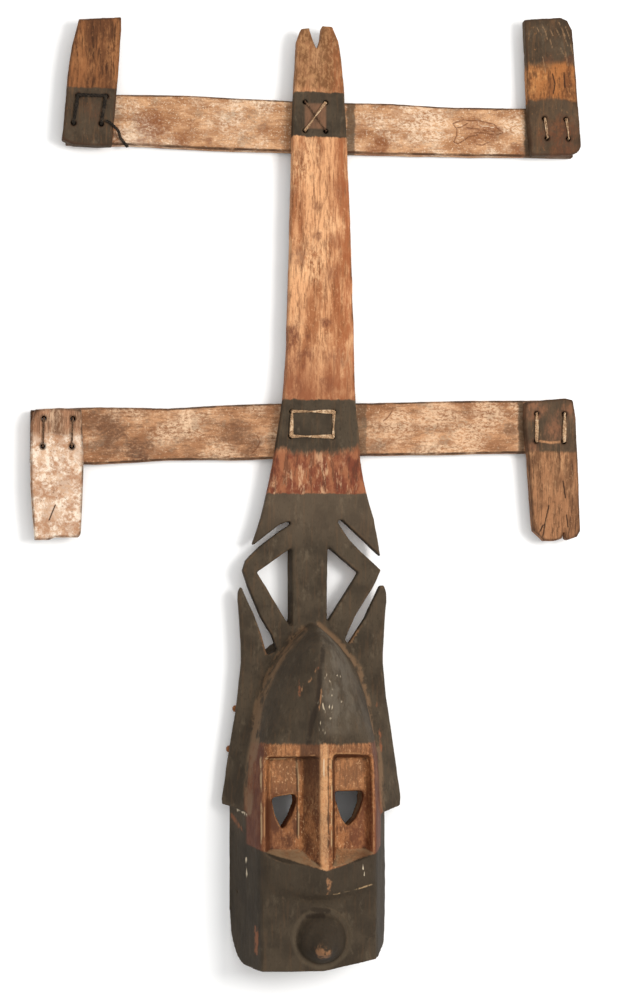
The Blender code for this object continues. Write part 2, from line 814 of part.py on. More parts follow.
# Outlines of the end boards, each counted from the middle of its crossing
END_BOARDS = {
    "upper_left": (
        (-0.013, 0.106),
        (0.036, 0.110),
        (0.036, 0.096),
        (0.033, 0.043),
        (0.030, 0.006),
        (0.026, -0.041),
        (0.010, -0.042),
        (-0.019, -0.041),
        (-0.032, -0.035),
        (-0.029, -0.006),
        (-0.025, 0.044),
        (-0.021, 0.073),
    ),
    "upper_right": (
        (-0.038, 0.130),
        (0.006, 0.134),
        (0.014, 0.131),
        (0.020, 0.120),
        (0.024, 0.070),
        (0.028, 0.015),
        (0.0305, -0.020),
        (0.028, -0.026),
        (0.018, -0.031),
        (-0.030, -0.033),
        (-0.0335, 0.005),
        (-0.0360, 0.080),
    ),
    "lower_left": (
        (-0.026, 0.026),
        (0.001, 0.028),
        (0.027, 0.027),
        (0.029, -0.010),
        (0.0295, -0.045),
        (0.0285, -0.080),
        (0.027, -0.117),
        (0.024, -0.121),
        (-0.003, -0.121),
        (-0.009, -0.124),
        (-0.026, -0.124),
        (-0.0285, -0.097),
        (-0.031, -0.060),
        (-0.031, 0.010),
    ),
    "lower_right": (
        (-0.0295, 0.030),
        (-0.011, 0.032),
        (0.019, 0.035),
        (0.028, 0.033),
        (0.031, 0.010),
        (0.034, -0.060),
        (0.036, -0.122),
        (0.032, -0.129),
        (0.0205, -0.133),
        (0.0175, -0.131),
        (0.0168, -0.115),
        (0.0140, -0.131),
        (0.006, -0.134),
        (-0.008, -0.134),
        (-0.014, -0.128),
        (-0.0205, -0.122),
        (-0.0235, -0.085),
        (-0.0265, -0.034),
        (-0.0300, 0.003),
    ),
}


def hole_cutter(name, group):
    """The four holes of a crossing, right through every piece there."""
    shape = bmesh.new()
    for place in holes(name).values():
        rod = rod_mesh("hole", (*place, -0.02), (*place, BOARD_FRONT + 0.02), HOLE_RADIUS)
        shape.from_mesh(rod)
    mesh = bpy.data.meshes.new(name + "_holes")
    shape.to_mesh(mesh)
    shape.free()
    return add_mesh(mesh.name, mesh, group)


# The route of most lashings: down the left in front, across behind, up the right and back again.
ROUND = ("top left", "bottom left", "bottom right", "top right")
CROSSED = ("bottom left", "top right", "bottom right", "top left")
TOP_STITCH = ("top left", "top right")
BOTTOM_STITCH = ("bottom left", "bottom right")

# For each lashing its route and the stitches in front that are added to it
ROUTES = {
    "upper_centre": (CROSSED, ()),
    "lower_centre": (ROUND, (TOP_STITCH, BOTTOM_STITCH)),
    "upper_left": (ROUND, (TOP_STITCH,)),
    "upper_right": (ROUND, ()),
    "lower_left": (ROUND, ()),
    "lower_right": (ROUND, ()),
}


def stitch_line(start, end, surface, outward, lift=0.0):
    """The line of one stitch: up out of a hole, over the wood and down into the next hole."""
    along = (end - start).normalized()
    clear = surface + outward * (2 * GAP + CORD_RADIUS)
    bend = surface + outward * 0.35 * CORD_RADIUS
    points = [
        (*start, bend),
        (*(start + along * HOLE_RADIUS), clear),
        (*(end - along * HOLE_RADIUS), clear),
        (*end, bend),
    ]
    if lift:
        middle, reach = (start + end) / 2, along * 1.5 * CORD_RADIUS
        points.insert(2, (*(middle - reach), clear + outward * lift))
        points.insert(3, (*(middle + reach), clear + outward * lift))
    return points


def lashing(name, front, material, group, helpers):
    """The whole cord of one crossing, with its stitches in front and behind and its runs between."""
    places = holes(name)
    route, added = ROUTES[name]
    line = []
    over = True
    for hole, following in zip(route, route[1:] + route[:1]):
        surface, outward = (front, 1) if over else (BAR_BACK, -1)
        # Where two stitches cross in front, the first one lies over the other.
        lift = 2 * CORD_RADIUS + GAP if route == CROSSED and not line else 0.0
        line += stitch_line(places[hole], places[following], surface, outward, lift)
        over = not over
    mesh = tube_mesh(name + "_lashing", line, CORD_RADIUS, ring=True)
    cord = add_mesh(mesh.name, mesh, group, material)
    for i, (first, last) in enumerate(added):
        nudge = (places[last] - places[first]).normalized() * 0.25 * CORD_RADIUS
        start, end = places[first] + nudge, places[last] - nudge
        arch = stitch_line(start, end, front, 1)
        low = front - 1.3 * CORD_RADIUS
        stitch = tube_mesh("stitch", [(*start, low), *arch, (*end, low)], 1.07 * CORD_RADIUS)
        combine(cord, add_mesh(f"{name}_stitch_{i}", stitch, helpers), "UNION")
    return cord


def flank_x(level, up):
    """How far the head's side wall stands from the middle, at a height between the rim and the board."""
    widths = head_outline()
    at_board = between(widths, level)
    rim = between([(place, rim_half_width(place)) for place, _ in widths], level)
    return rim + (at_board - rim) * up / BOARD_FRONT


RIM_KNOT_HEIGHT = 0.010
RIM_KNOTS = {"upper_rim_knot": HEAD_LENGTH * 0.747, "lower_rim_knot": HEAD_LENGTH * 0.628}
BARE_RIM_HOLE = (HEAD_LENGTH * 0.214, 0.026)


def rim_holes(group):
    """Small holes through the left wall near its back edge, two of them with a knotted cord."""
    shape = bmesh.new()
    places = [(level, RIM_KNOT_HEIGHT) for level in RIM_KNOTS.values()] + [BARE_RIM_HOLE]
    for level, up in places:
        wall = flank_x(level, up)
        ends = ((-wall - 0.02, level, up), (-wall + WALL + 0.02, level, up))
        shape.from_mesh(rod_mesh("rim_hole", *ends, RIM_HOLE_RADIUS))
    mesh = bpy.data.meshes.new("rim_holes")
    shape.to_mesh(mesh)
    shape.free()
    return add_mesh(mesh.name, mesh, group)


def rim_knot(name, group, helpers):
    """A cord end through the wall, with a knot outside and a smaller one inside."""
    level, up = RIM_KNOTS[name], RIM_KNOT_HEIGHT
    wall = flank_x(level, up)
    slope = 0.2 * KNOT_RADIUS
    outside = (-wall - KNOT_RADIUS - slope, level, up)
    inside = (-wall + WALL + KNOT_RADIUS + 2 * slope, level, up)
    knot = add_mesh(name, ball_mesh(name, outside, KNOT_RADIUS), group, "fibre")
    small = ball_mesh("small_knot", inside, 0.7 * KNOT_RADIUS)
    thread = rod_mesh("thread", outside, inside, RIM_CORD_RADIUS)
    combine(knot, add_mesh(name + "_thread", thread, helpers), "UNION")
    combine(knot, add_mesh(name + "_inner", small, helpers), "UNION")
    return knot


def loose_cord_end(group):
    """The free end of the black cord: out of the lower right hole, over the board's edge and down."""
    hole = holes("upper_left")["bottom right"]
    radius = CORD_RADIUS
    over = END_BOARD_FRONT + GAP + radius
    edge = crossing_middle("upper_left").x + 0.030
    low = BAR_FRONT + GAP + radius
    route = [
        (hole.x + 0.0045, hole.y + 0.0035, over),
        (hole.x + 0.0105, hole.y + 0.0005, over),
        (edge - 0.0005, hole.y - 0.0045, over - 0.0003),
        (edge + 0.0030, hole.y - 0.0075, over - 0.0040),
        (edge + 0.0045, hole.y - 0.0100, (over + low) / 2),
        (edge + 0.0060, hole.y - 0.0130, low + 0.0025),
        (edge + 0.0090, hole.y - 0.0165, low),
        (edge + 0.0125, hole.y - 0.0205, low),
    ]
    line = smooth_line(route, 2)
    mesh = tube_mesh("loose_cord_end", line, radius, resolution=2)
    return add_mesh("loose_cord_end", mesh, group, "black_cord")


def carve_mask(group, helpers):
    """The mask itself: the board, the head and the ears joined, then everything cut into them."""
    board = slab_mesh("mask", [board_outline(), *openings()], BOARD_BACK, BOARD_FRONT)
    slant_post(board)
    mask = add_mesh("mask", board, group, "mask")
    combine(mask, add_mesh("head", head_mesh(), helpers), "UNION")
    for side, word in ((-1, "left"), (1, "right")):
        combine(mask, add_mesh(word + "_ear", ear_mesh(side), helpers), "UNION")
    cuts = {
        "hollow": hollow_mesh(),
        "chin_rounding": rounding_mesh(),
        "chin_cut": chin_mesh(),
        "mouth_ring": mouth_ring_mesh(),
        "left_recess": recess_mesh(-1),
        "right_recess": recess_mesh(1),
        "left_eye": eye_mesh(-1),
        "right_eye": eye_mesh(1),
    }
    for name, mesh in cuts.items():
        combine(mask, add_mesh(name, mesh, helpers), "DIFFERENCE")
    combine(mask, add_mesh("mouth", mouth_mesh(), helpers), "UNION")
    combine(mask, rim_holes(helpers), "DIFFERENCE")
    return mask


def centre_on_floor(pieces):
    """Moves every piece so that the origin is the middle of the underside of the whole mask's box."""
    bpy.context.view_layer.update()
    graph = bpy.context.evaluated_depsgraph_get()
    corners = []
    for piece in pieces:
        evaluated = piece.evaluated_get(graph)
        corners += [evaluated.matrix_world @ Vector(corner) for corner in evaluated.bound_box]
    low = Vector(min(corner[i] for corner in corners) for i in range(3))
    high = Vector(max(corner[i] for corner in corners) for i in range(3))
    shift = Vector((-(low.x + high.x) / 2, -(low.y + high.y) / 2, -low.z))
    for obj in bpy.data.objects:
        obj.location = obj.location + shift


def main():
    clear_scene()
    parts = collection("kanaga_mask", True)
    helpers = collection("carving", False)
    mask = carve_mask(parts, helpers)
    pieces = [mask]
    cutters = {name: hole_cutter(name, helpers) for name in CROSSINGS}
    for name in BARS:
        mesh = slab_mesh(name + "_crossbar", [bar_outline(name)], BAR_BACK, BAR_FRONT)
        bar = add_mesh(name + "_crossbar", mesh, parts, "crossbar")
        for crossing, cutter in cutters.items():
            if CROSSINGS[crossing][0] == name:
                combine(bar, cutter, "DIFFERENCE")
        pieces.append(bar)
    for name, outline in END_BOARDS.items():
        middle = crossing_middle(name)
        places = [middle + Vector(point) for point in outline]
        mesh = slab_mesh(name + "_end_board", [places], BOARD_BACK, END_BOARD_FRONT)
        board = add_mesh(name + "_end_board", mesh, parts, "end_board")
        combine(board, cutters[name], "DIFFERENCE")
        pieces.append(board)
    for name in ("upper_centre", "lower_centre"):
        combine(mask, cutters[name], "DIFFERENCE")
    for name in ROUTES:
        front = BOARD_FRONT if name.endswith("centre") else END_BOARD_FRONT
        cord = "black_cord" if name == "upper_left" else "pale_cord"
        pieces.append(lashing(name, front, cord, parts, helpers))
    for name in RIM_KNOTS:
        pieces.append(rim_knot(name, parts, helpers))
    pieces.append(loose_cord_end(parts))
    centre_on_floor(pieces)


main()
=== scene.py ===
import itertools
import math
from functools import reduce

import bpy
import numpy as np
from mathutils import Matrix, Vector


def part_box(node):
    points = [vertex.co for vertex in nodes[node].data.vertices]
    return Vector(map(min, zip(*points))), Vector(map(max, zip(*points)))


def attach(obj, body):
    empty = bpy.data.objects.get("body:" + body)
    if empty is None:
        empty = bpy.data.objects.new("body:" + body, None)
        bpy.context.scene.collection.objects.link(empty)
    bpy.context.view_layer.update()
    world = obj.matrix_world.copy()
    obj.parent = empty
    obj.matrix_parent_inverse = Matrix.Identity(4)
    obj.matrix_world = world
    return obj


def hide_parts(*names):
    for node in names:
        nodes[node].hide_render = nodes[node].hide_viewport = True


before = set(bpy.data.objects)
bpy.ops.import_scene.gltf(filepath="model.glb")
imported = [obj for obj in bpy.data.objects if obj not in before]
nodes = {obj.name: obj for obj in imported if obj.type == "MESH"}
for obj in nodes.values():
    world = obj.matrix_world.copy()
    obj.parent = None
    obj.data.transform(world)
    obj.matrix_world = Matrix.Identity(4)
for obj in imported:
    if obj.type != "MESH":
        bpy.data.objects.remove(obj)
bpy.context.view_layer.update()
maskHeight = 1.094
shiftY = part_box("mask")[1].y - maskHeight  # the places below are counted from the chin
print("frame loaded, the chin is at y =", round(shiftY, 4))

# Camera, lights and floor

photoView = {"place": (-0.3499, 0.3937, 2.7132), "aim": (0.002, 0.535, 0.040), "lens": 83.68}

studio = {
    "sky": 0.74,
    "skyTint": (1.0, 0.98, 0.95),
    "window": {"place": (1.05, 0.70, 2.45), "size": 0.75, "watts": 43, "tint": (1.0, 0.965, 0.92)},
    "ceiling": {"place": (-0.2, 0.8, 2.9), "size": 1.8, "watts": 22, "tint": (1.0, 0.975, 0.94)},
    "lampAim": (0.0, 0.5, 0.0),
    "floor": (0.90, 0.92, 0.945),
    "floorReach": 6.0,
}


def onFloor(place):
    return Vector((place[0], place[1] + shiftY, place[2]))


def turned(place, aim):
    back = (onFloor(place) - onFloor(aim)).normalized()
    right = Vector((0, 1, 0)).cross(back).normalized()
    up = back.cross(right)
    return Matrix.Translation(onFloor(place)) @ Matrix((right, up, back)).transposed().to_4x4()


def setUpStudio():
    scene = bpy.context.scene
    lens = bpy.data.cameras.new("photoCamera")
    lens.lens = photoView["lens"]
    lens.sensor_width = 36
    camera = bpy.data.objects.new("photoCamera", lens)
    camera.matrix_world = turned(photoView["place"], photoView["aim"])
    scene.collection.objects.link(camera)
    scene.camera = camera
    scene.view_settings.view_transform = "Standard"

    sky = bpy.data.worlds.new("studioSky")
    sky.use_nodes = True
    sky.node_tree.nodes["Background"].inputs["Color"].default_value = (*studio["skyTint"], 1)
    sky.node_tree.nodes["Background"].inputs["Strength"].default_value = studio["sky"]
    scene.world = sky
    for name in ("window", "ceiling"):
        choice = studio[name]
        lamp = bpy.data.lights.new(name, "AREA")
        lamp.size = choice["size"]
        lamp.energy = choice["watts"]
        lamp.color = choice["tint"]
        light = bpy.data.objects.new(name, lamp)
        light.matrix_world = turned(choice["place"], studio["lampAim"])
        scene.collection.objects.link(light)

    reach = studio["floorReach"]
    mesh = bpy.data.meshes.new("paleFloor")
    corners = [(-reach, -reach, 0), (reach, -reach, 0), (reach, reach, 0), (-reach, reach, 0)]
    mesh.from_pydata(corners, [], [(0, 1, 2, 3)])
    floor = bpy.data.objects.new("paleFloor", mesh)
    scene.collection.objects.link(floor)
    paint = bpy.data.materials.new("paleFloor")
    paint.use_nodes = True
    shader = paint.node_tree.nodes["Principled BSDF"]
    shader.inputs["Base Color"].default_value = (*studio["floor"], 1)
    shader.inputs["Roughness"].default_value = 0.9
    mesh.materials.append(paint)
    print("studio ready")


setUpStudio()

# Cords. The routes repeat the holes of the crossings, counted from the chin.

cordRadius = 0.0017
holeRadius = 0.0033
barBack, barFront, plankFront, endBoardFront = 0.004, 0.018, 0.0383, 0.0343
lowestStitch = 0.0002  # the stitches behind the bars stay above the floor
cordGap = 0.0003

crossings = {
    # middle, how far apart the holes are across and up, lean, and the front that the stitches lie on
    "upper_centre": ((0.0045, 0.9855), (0.0245, 0.0340), 0.0000, plankFront),
    "lower_centre": ((0.0010, 0.6235), (0.0490, 0.0290), 0.0010, plankFront),
    "upper_left": ((-0.2590, 0.9870), (0.0320, 0.0325), 0.0050, endBoardFront),
    "upper_right": ((0.2945, 0.9800), (0.0260, 0.0235), -0.0030, endBoardFront),
    "lower_left": ((-0.2935, 0.6113), (0.0330, 0.0325), 0.0010, endBoardFront),
    "lower_right": ((0.2850, 0.6230), (0.0335, 0.0330), 0.0005, endBoardFront),
}


def holesOf(name):
    (x, y), (across, up), lean, _ = crossings[name]
    found = {}
    for corner in ("top left", "top right", "bottom right", "bottom left"):
        side = 1 if "right" in corner else -1
        rise = 1 if "top" in corner else -1
        place = (x + side * across / 2 + rise * lean / 2, y + rise * up / 2)
        found[corner] = Vector((place[0], place[1] + shiftY))
    return found


def stitchLine(start, end, surface, outward, lift=0.0):
    along = (end - start).normalized()
    clear = surface + outward * (0.0006 + cordRadius)
    bend = surface + outward * 0.35 * cordRadius
    points = [
        (*start, bend),
        (*(start + along * holeRadius), clear),
        (*(end - along * holeRadius), clear),
        (*end, bend),
    ]
    if lift:  # where two stitches cross, the first one lies over the other
        middle, reach = (start + end) / 2, along * 1.5 * cordRadius
        points.insert(2, (*(middle - reach), clear + outward * lift))
        points.insert(3, (*(middle + reach), clear + outward * lift))
    return points


def runOf(path):  # how far along the path each of its points lies
    return np.concatenate([[0], np.cumsum(np.linalg.norm(np.diff(path, axis=0), axis=1))])


def smoothPath(points, gap=0.0008):
    points = np.array(points, float)
    padded = np.vstack([2 * points[0] - points[1], points, 2 * points[-1] - points[-2]])
    found = []
    for a, b, c, d in zip(padded, padded[1:], padded[2:], padded[3:]):
        for t in np.arange(0, 1, 0.1):
            bend = 2 * b + (c - a) * t + (2 * a - 5 * b + 4 * c - d) * t * t
            found.append((bend + (3 * b - a - 3 * c + d) * t**3) / 2)
    found = np.array([*found, points[-1]])
    runs = runOf(found)
    places = np.linspace(0, runs[-1], max(3, round(runs[-1] / gap) + 1))
    return np.stack([np.interp(places, runs, found[:, axis]) for axis in range(3)], axis=1)


def strandMesh(name, path, strands, spread, thick, turn, flat=False, seed=1):
    # strands twisted round one path, or laid side by side when flat; turn is the length of one whole twist
    chance = np.random.default_rng(seed)
    along = np.gradient(path, axis=0)
    along /= np.linalg.norm(along, axis=1)[:, None]
    side = np.cross(along[0], (0.31, 0.17, 0.93))
    sideways = []
    for direction in along:
        level = np.cross(direction, (0, 0, 1))
        if flat and np.linalg.norm(level) > 0.35:  # on the wood the strands lie side by side
            side = level if level.dot(side) >= 0 else -level
        side = side - direction * side.dot(direction)
        side /= np.linalg.norm(side)
        sideways.append(side)
    sideways = np.array(sideways)
    upwards = np.cross(along, sideways)
    run = runOf(path)
    sides = 7
    angles = 2 * math.pi * np.arange(sides)[:, None] / sides
    rings = np.cos(angles) * sideways[:, None] + np.sin(angles) * upwards[:, None]
    points, faces = [], []
    for strand in range(strands):
        swing = 2 * math.pi * run / turn
        if flat:
            place = (strand - (strands - 1) / 2) * 2 / max(1, strands - 1)
            wander = np.interp(run, np.linspace(0, run[-1], 9), chance.uniform(-0.5, 0.5, 9))
            offset = (np.cos(swing) * place + wander * 0.4)[:, None] * sideways
            offset = offset + (np.sin(swing) * place * 0.45)[:, None] * upwards
        else:
            swing = swing + 2 * math.pi * strand / strands
            offset = np.cos(swing)[:, None] * sideways + np.sin(swing)[:, None] * upwards
        middle = path + offset * spread
        wander = np.convolve(chance.uniform(-1, 1, len(path) + 8), np.ones(9) / 4, "valid")
        width = thick * (1 + 0.16 * wander)
        width[0] *= 0.6
        width[-1] *= 0.6
        first = len(points)
        last = first + (len(path) - 1) * sides
        points.extend((middle[:, None] + rings * width[:, None, None]).reshape(-1, 3))
        for a in range(first, last):
            b = a + 1 if (a + 1 - first) % sides else a + 1 - sides
            faces.append((a, b, b + sides, a + sides))
        faces.append(tuple(range(first + sides - 1, first - 1, -1)))
        faces.append(tuple(range(last, last + sides)))
    mesh = bpy.data.meshes.new(name)
    mesh.from_pydata(points, [], faces)
    mesh.shade_smooth()
    return mesh


def addPiece(name, mesh, slot, *replaced):
    piece = bpy.data.objects.new(name, mesh)
    bpy.context.scene.collection.objects.link(piece)
    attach(piece, "root")
    if replaced:
        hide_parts(*replaced)
    return piece


looseEnd = {"length": 0.042, "thick": 2 * cordRadius, "turn": 0.010, "knot": 0.0024}


def makeLooseEnd():
    hole = holesOf("upper_left")["bottom right"]
    over = endBoardFront + cordGap + cordRadius
    low = barFront + cordGap + cordRadius
    edge = crossings["upper_left"][0][0] + 0.030
    route = [
        (hole.x + 0.0045, hole.y + 0.0035, over),
        (hole.x + 0.0105, hole.y + 0.0005, over),
        (edge - 0.0005, hole.y - 0.0045, over - 0.0003),
        (edge + 0.0030, hole.y - 0.0075, over - 0.0040),
        (edge + 0.0045, hole.y - 0.0100, (over + low) / 2),
        (edge + 0.0060, hole.y - 0.0130, low + 0.0025),
        (edge + 0.0090, hole.y - 0.0165, low),
        (edge + 0.0125, hole.y - 0.0205, low),
    ]
    path = smoothPath(route, 0.0006)
    mesh = strandMesh("loose_cord", path, 3, 0.0008, 0.00105, looseEnd["turn"], seed=3)
    cord = addPiece("loose_cord", mesh, "black_cord", "loose_cord_end")
    bpy.ops.mesh.primitive_ico_sphere_add(subdivisions=3, radius=looseEnd["knot"])
    knot = bpy.context.object
    knot.name = "loose_cord_knot"
    for point in knot.data.vertices:  # a small hard knot with the turns of the cord on it
        turn = math.sin(point.co.x * 2600 + point.co.y * 900) * 0.10
        point.co = Vector((point.co.x * 1.15, point.co.y * 0.95, point.co.z * 0.85)) * (1 + turn)
    beyond = Matrix.Translation(2 * path[-1] - path[-4])
    knot.data.transform(beyond @ Matrix.Rotation(-0.9, 4, "Z"))
    knot.data.shade_smooth()
    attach(knot, "root")
    return cord, knot


looseCord, looseKnot = makeLooseEnd()
print("loose cord laid")

roundWay = ("top left", "bottom left", "bottom right", "top right")
crossedWay = ("bottom left", "top right", "bottom right", "top left")

# each lashing: its way through the holes, the stitches added in front, its finish and its thread:
# the strands, how far they spread, how thick they are, the length of a twist and if they lie flat;
# the ones without a finish are of raffia, and a single one goes on as a thin thread after a stitch
thinThread = (2, 0.0005, 0.00045, 0.010, False)
topStitch, bottomStitch = ("top left", "top right"), ("bottom left", "bottom right")
lashings = {
    "upper_centre": {
        "way": crossedWay,
        "single": True,
        "thread": (4, 0.0013, 0.00062, 0.110, True),
        "finish": ("raffia", "brownThread"),
    },
    "lower_centre": {
        "way": roundWay,
        "added": (topStitch, bottomStitch),
        "thread": (4, 0.0016, 0.00080, 0.120, True),
    },
    "upper_left": {
        "way": roundWay,
        "added": (topStitch,),
        "thread": (3, 0.00095, 0.00115, 0.013, False),
        "finish": ("darkCord",),
    },
    "upper_right": {"way": roundWay, "thread": (2, 0.0008, 0.00065, 0.070, True)},
    "lower_left": {
        "way": roundWay,
        "thread": (2, 0.0005, 0.00060, 0.012, False),
        "finish": ("brownThread",),
    },
    "lower_right": {"way": roundWay, "thread": (4, 0.0016, 0.00075, 0.090, True)},
}


def makeLashing(name, choice):
    holes, front = holesOf(name), crossings[name][3]
    line, first, over = [], [], True
    way = choice["way"]
    for hole, following in zip(way, way[1:] + way[:1]):
        surface, outward = (front, 1) if over else (barBack, -1)
        lift = 2 * cordRadius + cordGap if way == crossedWay and not line else 0.0
        stitch = stitchLine(holes[hole], holes[following], surface, outward, lift)
        first = first or stitch
        line += stitch
        over = not over
    low = barBack + 0.002
    deep = front - 0.009
    thread = choice["thread"]
    if choice.get("single"):
        rest = [(*first[-1][:2], deep), *line[len(first) :], (*first[0][:2], deep)]
        paths = [([(*first[0][:2], deep), *first, (*first[-1][:2], deep)], thread, 0)]
        paths.append((rest, thinThread, 1))
    else:
        whole = [(line[0][0], line[0][1], low + 0.004), *line, (line[0][0], line[0][1], low)]
        paths = [(whole, thread, 0)]
    for hole, following in choice.get("added", ()):
        nudge = (holes[following] - holes[hole]).normalized() * 0.25 * cordRadius
        start, end = holes[hole] + nudge, holes[following] - nudge
        arch = stitchLine(start, end, front, 1)
        paths.append(([(*start, deep), *arch, (*end, deep)], thread, 0))
    points, faces, inks = [], [], []
    for i, (path, strands, ink) in enumerate(paths):
        mesh = strandMesh(name, smoothPath(path), *strands, seed=len(name) + i)
        offset = len(points)
        points += [(*point.co.xy, max(point.co.z, lowestStitch)) for point in mesh.vertices]
        faces += [tuple(index + offset for index in face.vertices) for face in mesh.polygons]
        inks += [ink] * len(mesh.polygons)
    mesh = bpy.data.meshes.new(name + "_cord")
    mesh.from_pydata(points, [], faces)
    mesh.polygons.foreach_set("material_index", inks)
    mesh.shade_smooth()
    slot = "black_cord" if name == "upper_left" else "pale_cord"
    return addPiece(name + "_cord", mesh, slot, name + "_lashing")


cords = {name: makeLashing(name, choice) for name, choice in lashings.items()}
print("lashings made:", len(cords))


# Finishes


class Tone:  # one socket of a finish, so that its maths reads as Python
    def __init__(self, tree, socket=None):
        self.tree = tree
        self.socket = socket

    def make(self, kind, settings=None, sockets=None, output=0):
        node = self.tree.nodes.new(kind)
        for name, value in (settings or {}).items():
            setattr(node, name, value)
        for name, value in (sockets or {}).items():
            if isinstance(name, int):
                target = node.inputs[name]
            else:
                target = next(s for s in node.inputs if name in (s.identifier, s.name))
            if isinstance(value, Tone):
                self.tree.links.new(value.socket, target)
            else:
                target.default_value = value
        return Tone(self.tree, node.outputs[output])

    def maths(self, operation, first, second):
        return self.make("ShaderNodeMath", {"operation": operation}, {0: first, 1: second})

    def __add__(self, other):
        return self.maths("ADD", self, other)

    __radd__ = __add__

    def __sub__(self, other):
        return self.maths("SUBTRACT", self, other)

    def __rsub__(self, other):
        return self.maths("SUBTRACT", other, self)

    def __mul__(self, other):
        return self.maths("MULTIPLY", self, other)

    __rmul__ = __mul__


def smooth(value, low, high):  # 0 below low and 1 above high
    return value.make(
        "ShaderNodeMapRange",
        {"interpolation_type": "SMOOTHSTEP"},
        {"Value": value, "From Min": low, "From Max": high},
    )


def tint(shade):  # a colour is read off a paint card, from 0 to 255
    if isinstance(shade, Tone):
        return shade
    shares = [value / 255 for value in shade]
    return (*[s / 12.92 if s <= 0.04045 else ((s + 0.055) / 1.055) ** 2.4 for s in shares], 1.0)


def mixed(amount, first, second):  # the first colour where the amount is 0
    sockets = {"Factor_Float": amount, "A_Color": tint(first), "B_Color": tint(second)}
    return amount.make("ShaderNodeMix", {"data_type": "RGBA"}, sockets, 2)


def coated(shade, *coats):  # each coat is an amount and a colour, laid over the ones before it
    for amount, over in coats:
        shade = mixed(amount, shade, over)
    return shade


def larger(first, second):
    return first.maths("MAXIMUM", first, second)


def unsigned(value):
    return value.maths("ABSOLUTE", value, 0)


def below(value, low, high):  # 1 below low and 0 above high
    return 1 - smooth(value, low, high)


def within(value, low, high, soft):  # 1 between low and high
    return smooth(value, low - soft, low + soft) * below(value, high - soft, high + soft)


def spots(place, scale, detail=3.0, rough=0.55, stretch=(1, 1, 1), shift=(0, 0, 0)):
    sockets = {"Vector": place, "Scale": tuple(scale * share for share in stretch), "Location": shift}
    moved = place.make("ShaderNodeMapping", {}, sockets)
    sockets = {"Vector": moved, "Scale": 1.0, "Detail": detail, "Roughness": rough}
    return place.make("ShaderNodeTexNoise", {}, sockets)


def markOf(place, name):  # a mark that the carving left on the mesh
    return place.make("ShaderNodeAttribute", {"attribute_name": name}, {}, "Fac")


def partsOf(vector):  # its x, y and z
    node = vector.make("ShaderNodeSeparateXYZ", {}, {0: vector}).socket.node
    return [Tone(vector.tree, output) for output in node.outputs]


def planOf(place):
    return place.make("ShaderNodeVectorMath", {"operation": "MULTIPLY"}, {0: place, 1: (1, 1, 0)})


def fromSpot(plan, x, y):  # how far away a spot of the plan is
    sockets = {0: plan, 1: (x, y + shiftY, 0.0)}
    return plan.make("ShaderNodeVectorMath", {"operation": "DISTANCE"}, sockets, "Value")


def startFinish(name):
    material = bpy.data.materials.new(name)
    material.use_nodes = True
    start = Tone(material.node_tree)
    place = start.make("ShaderNodeTexCoord", output="Object")
    across, along, up = partsOf(place)
    facing = partsOf(start.make("ShaderNodeNewGeometry", output="Normal"))
    return material, place, (across, along - shiftY, up), facing  # along is counted from the chin


def endFinish(material, shade, rough, height, strength=0.85, deep=0.0008):
    shader = material.node_tree.nodes["Principled BSDF"]
    links = material.node_tree.links
    links.new(shade.socket, shader.inputs["Base Color"])
    if isinstance(rough, Tone):
        links.new(rough.socket, shader.inputs["Roughness"])
    else:
        shader.inputs["Roughness"].default_value = rough
    shader.inputs["Specular IOR Level"].default_value = 0.12
    sockets = {"Height": height, "Strength": strength, "Distance": deep}
    links.new(height.make("ShaderNodeBump", {}, sockets).socket, shader.inputs["Normal"])
    return material


charcoalPaint = {"base": (70, 60, 48), "dark": (46, 39, 31), "dusty": (98, 86, 70), "brown": (98, 72, 50)}


def charcoalShade(place, seen):
    # thin dark earth paint: the grain of the wood and a little brown show through it
    broad = spots(place, 30, 4, 0.6)
    fine = spots(place, 420, 4, 0.65, (1, 0.45, 1))
    fibres = spots(place, 330, 5, 0.65, (1, 0.07, 1))
    dust = spots(place, 95, 5, 0.7, (1, 0.5, 1))
    return coated(
        charcoalPaint["base"],
        (smooth(broad, 0.40, 0.64) * 0.65, charcoalPaint["dark"]),
        (smooth(fibres, 0.50, 0.66) * seen, charcoalPaint["brown"]),
        (smooth(dust, 0.54, 0.70) * 0.45, charcoalPaint["dusty"]),
        (smooth(fine, 0.54, 0.66) * 0.45, charcoalPaint["dark"]),
    )


def woodShade(place, choice):
    # light wood: broad streaks, washed patches, broken dark grain and fine fibres
    def noise(scale, detail, rough, share):
        share = min(1.0, share * choice.get("shorter", 1.0))
        stretch = (1, share, 1) if choice.get("grain", "y") == "y" else (share, 1, 1)
        return spots(place, scale, detail, rough, stretch, choice.get("shift", (0, 0, 0)))

    grain = noise(250, 6, 0.66, 0.11)
    patches = noise(21, 4, 0.58, 0.55)
    flecks = noise(330, 5, 0.72, 0.35)
    pits = noise(430, 4, 0.78, 0.45)
    rings = within(noise(105, 3, 0.5, 0.035), 0.492, 0.508, 0.010)
    pale, line = choice["pale"], choice["line"]
    fleckAmount = choice.get("fleckAmount", 0.35)
    shade = coated(
        mixed(smooth(noise(62, 5, 0.60, 0.13), 0.40, 0.60), choice["dark"], choice["base"]),
        (smooth(patches, 0.46, 0.64) * smooth(flecks, 0.40, 0.54) * 0.75, pale),
        (smooth(grain, 0.52, 0.62) * choice.get("grainAmount", 0.6), line),
        (smooth(noise(640, 5, 0.65, 0.07), 0.52, 0.62) * 0.45, line),
        (rings * choice.get("ringAmount", 0.45), line),
        (smooth(flecks, 0.57, 0.66) * fleckAmount, pale),
        (smooth(pits, 0.57, 0.66) * 0.45, line),
        (below(pits, 0.34, 0.42) * fleckAmount, pale),
    )
    return shade, grain, patches, flecks


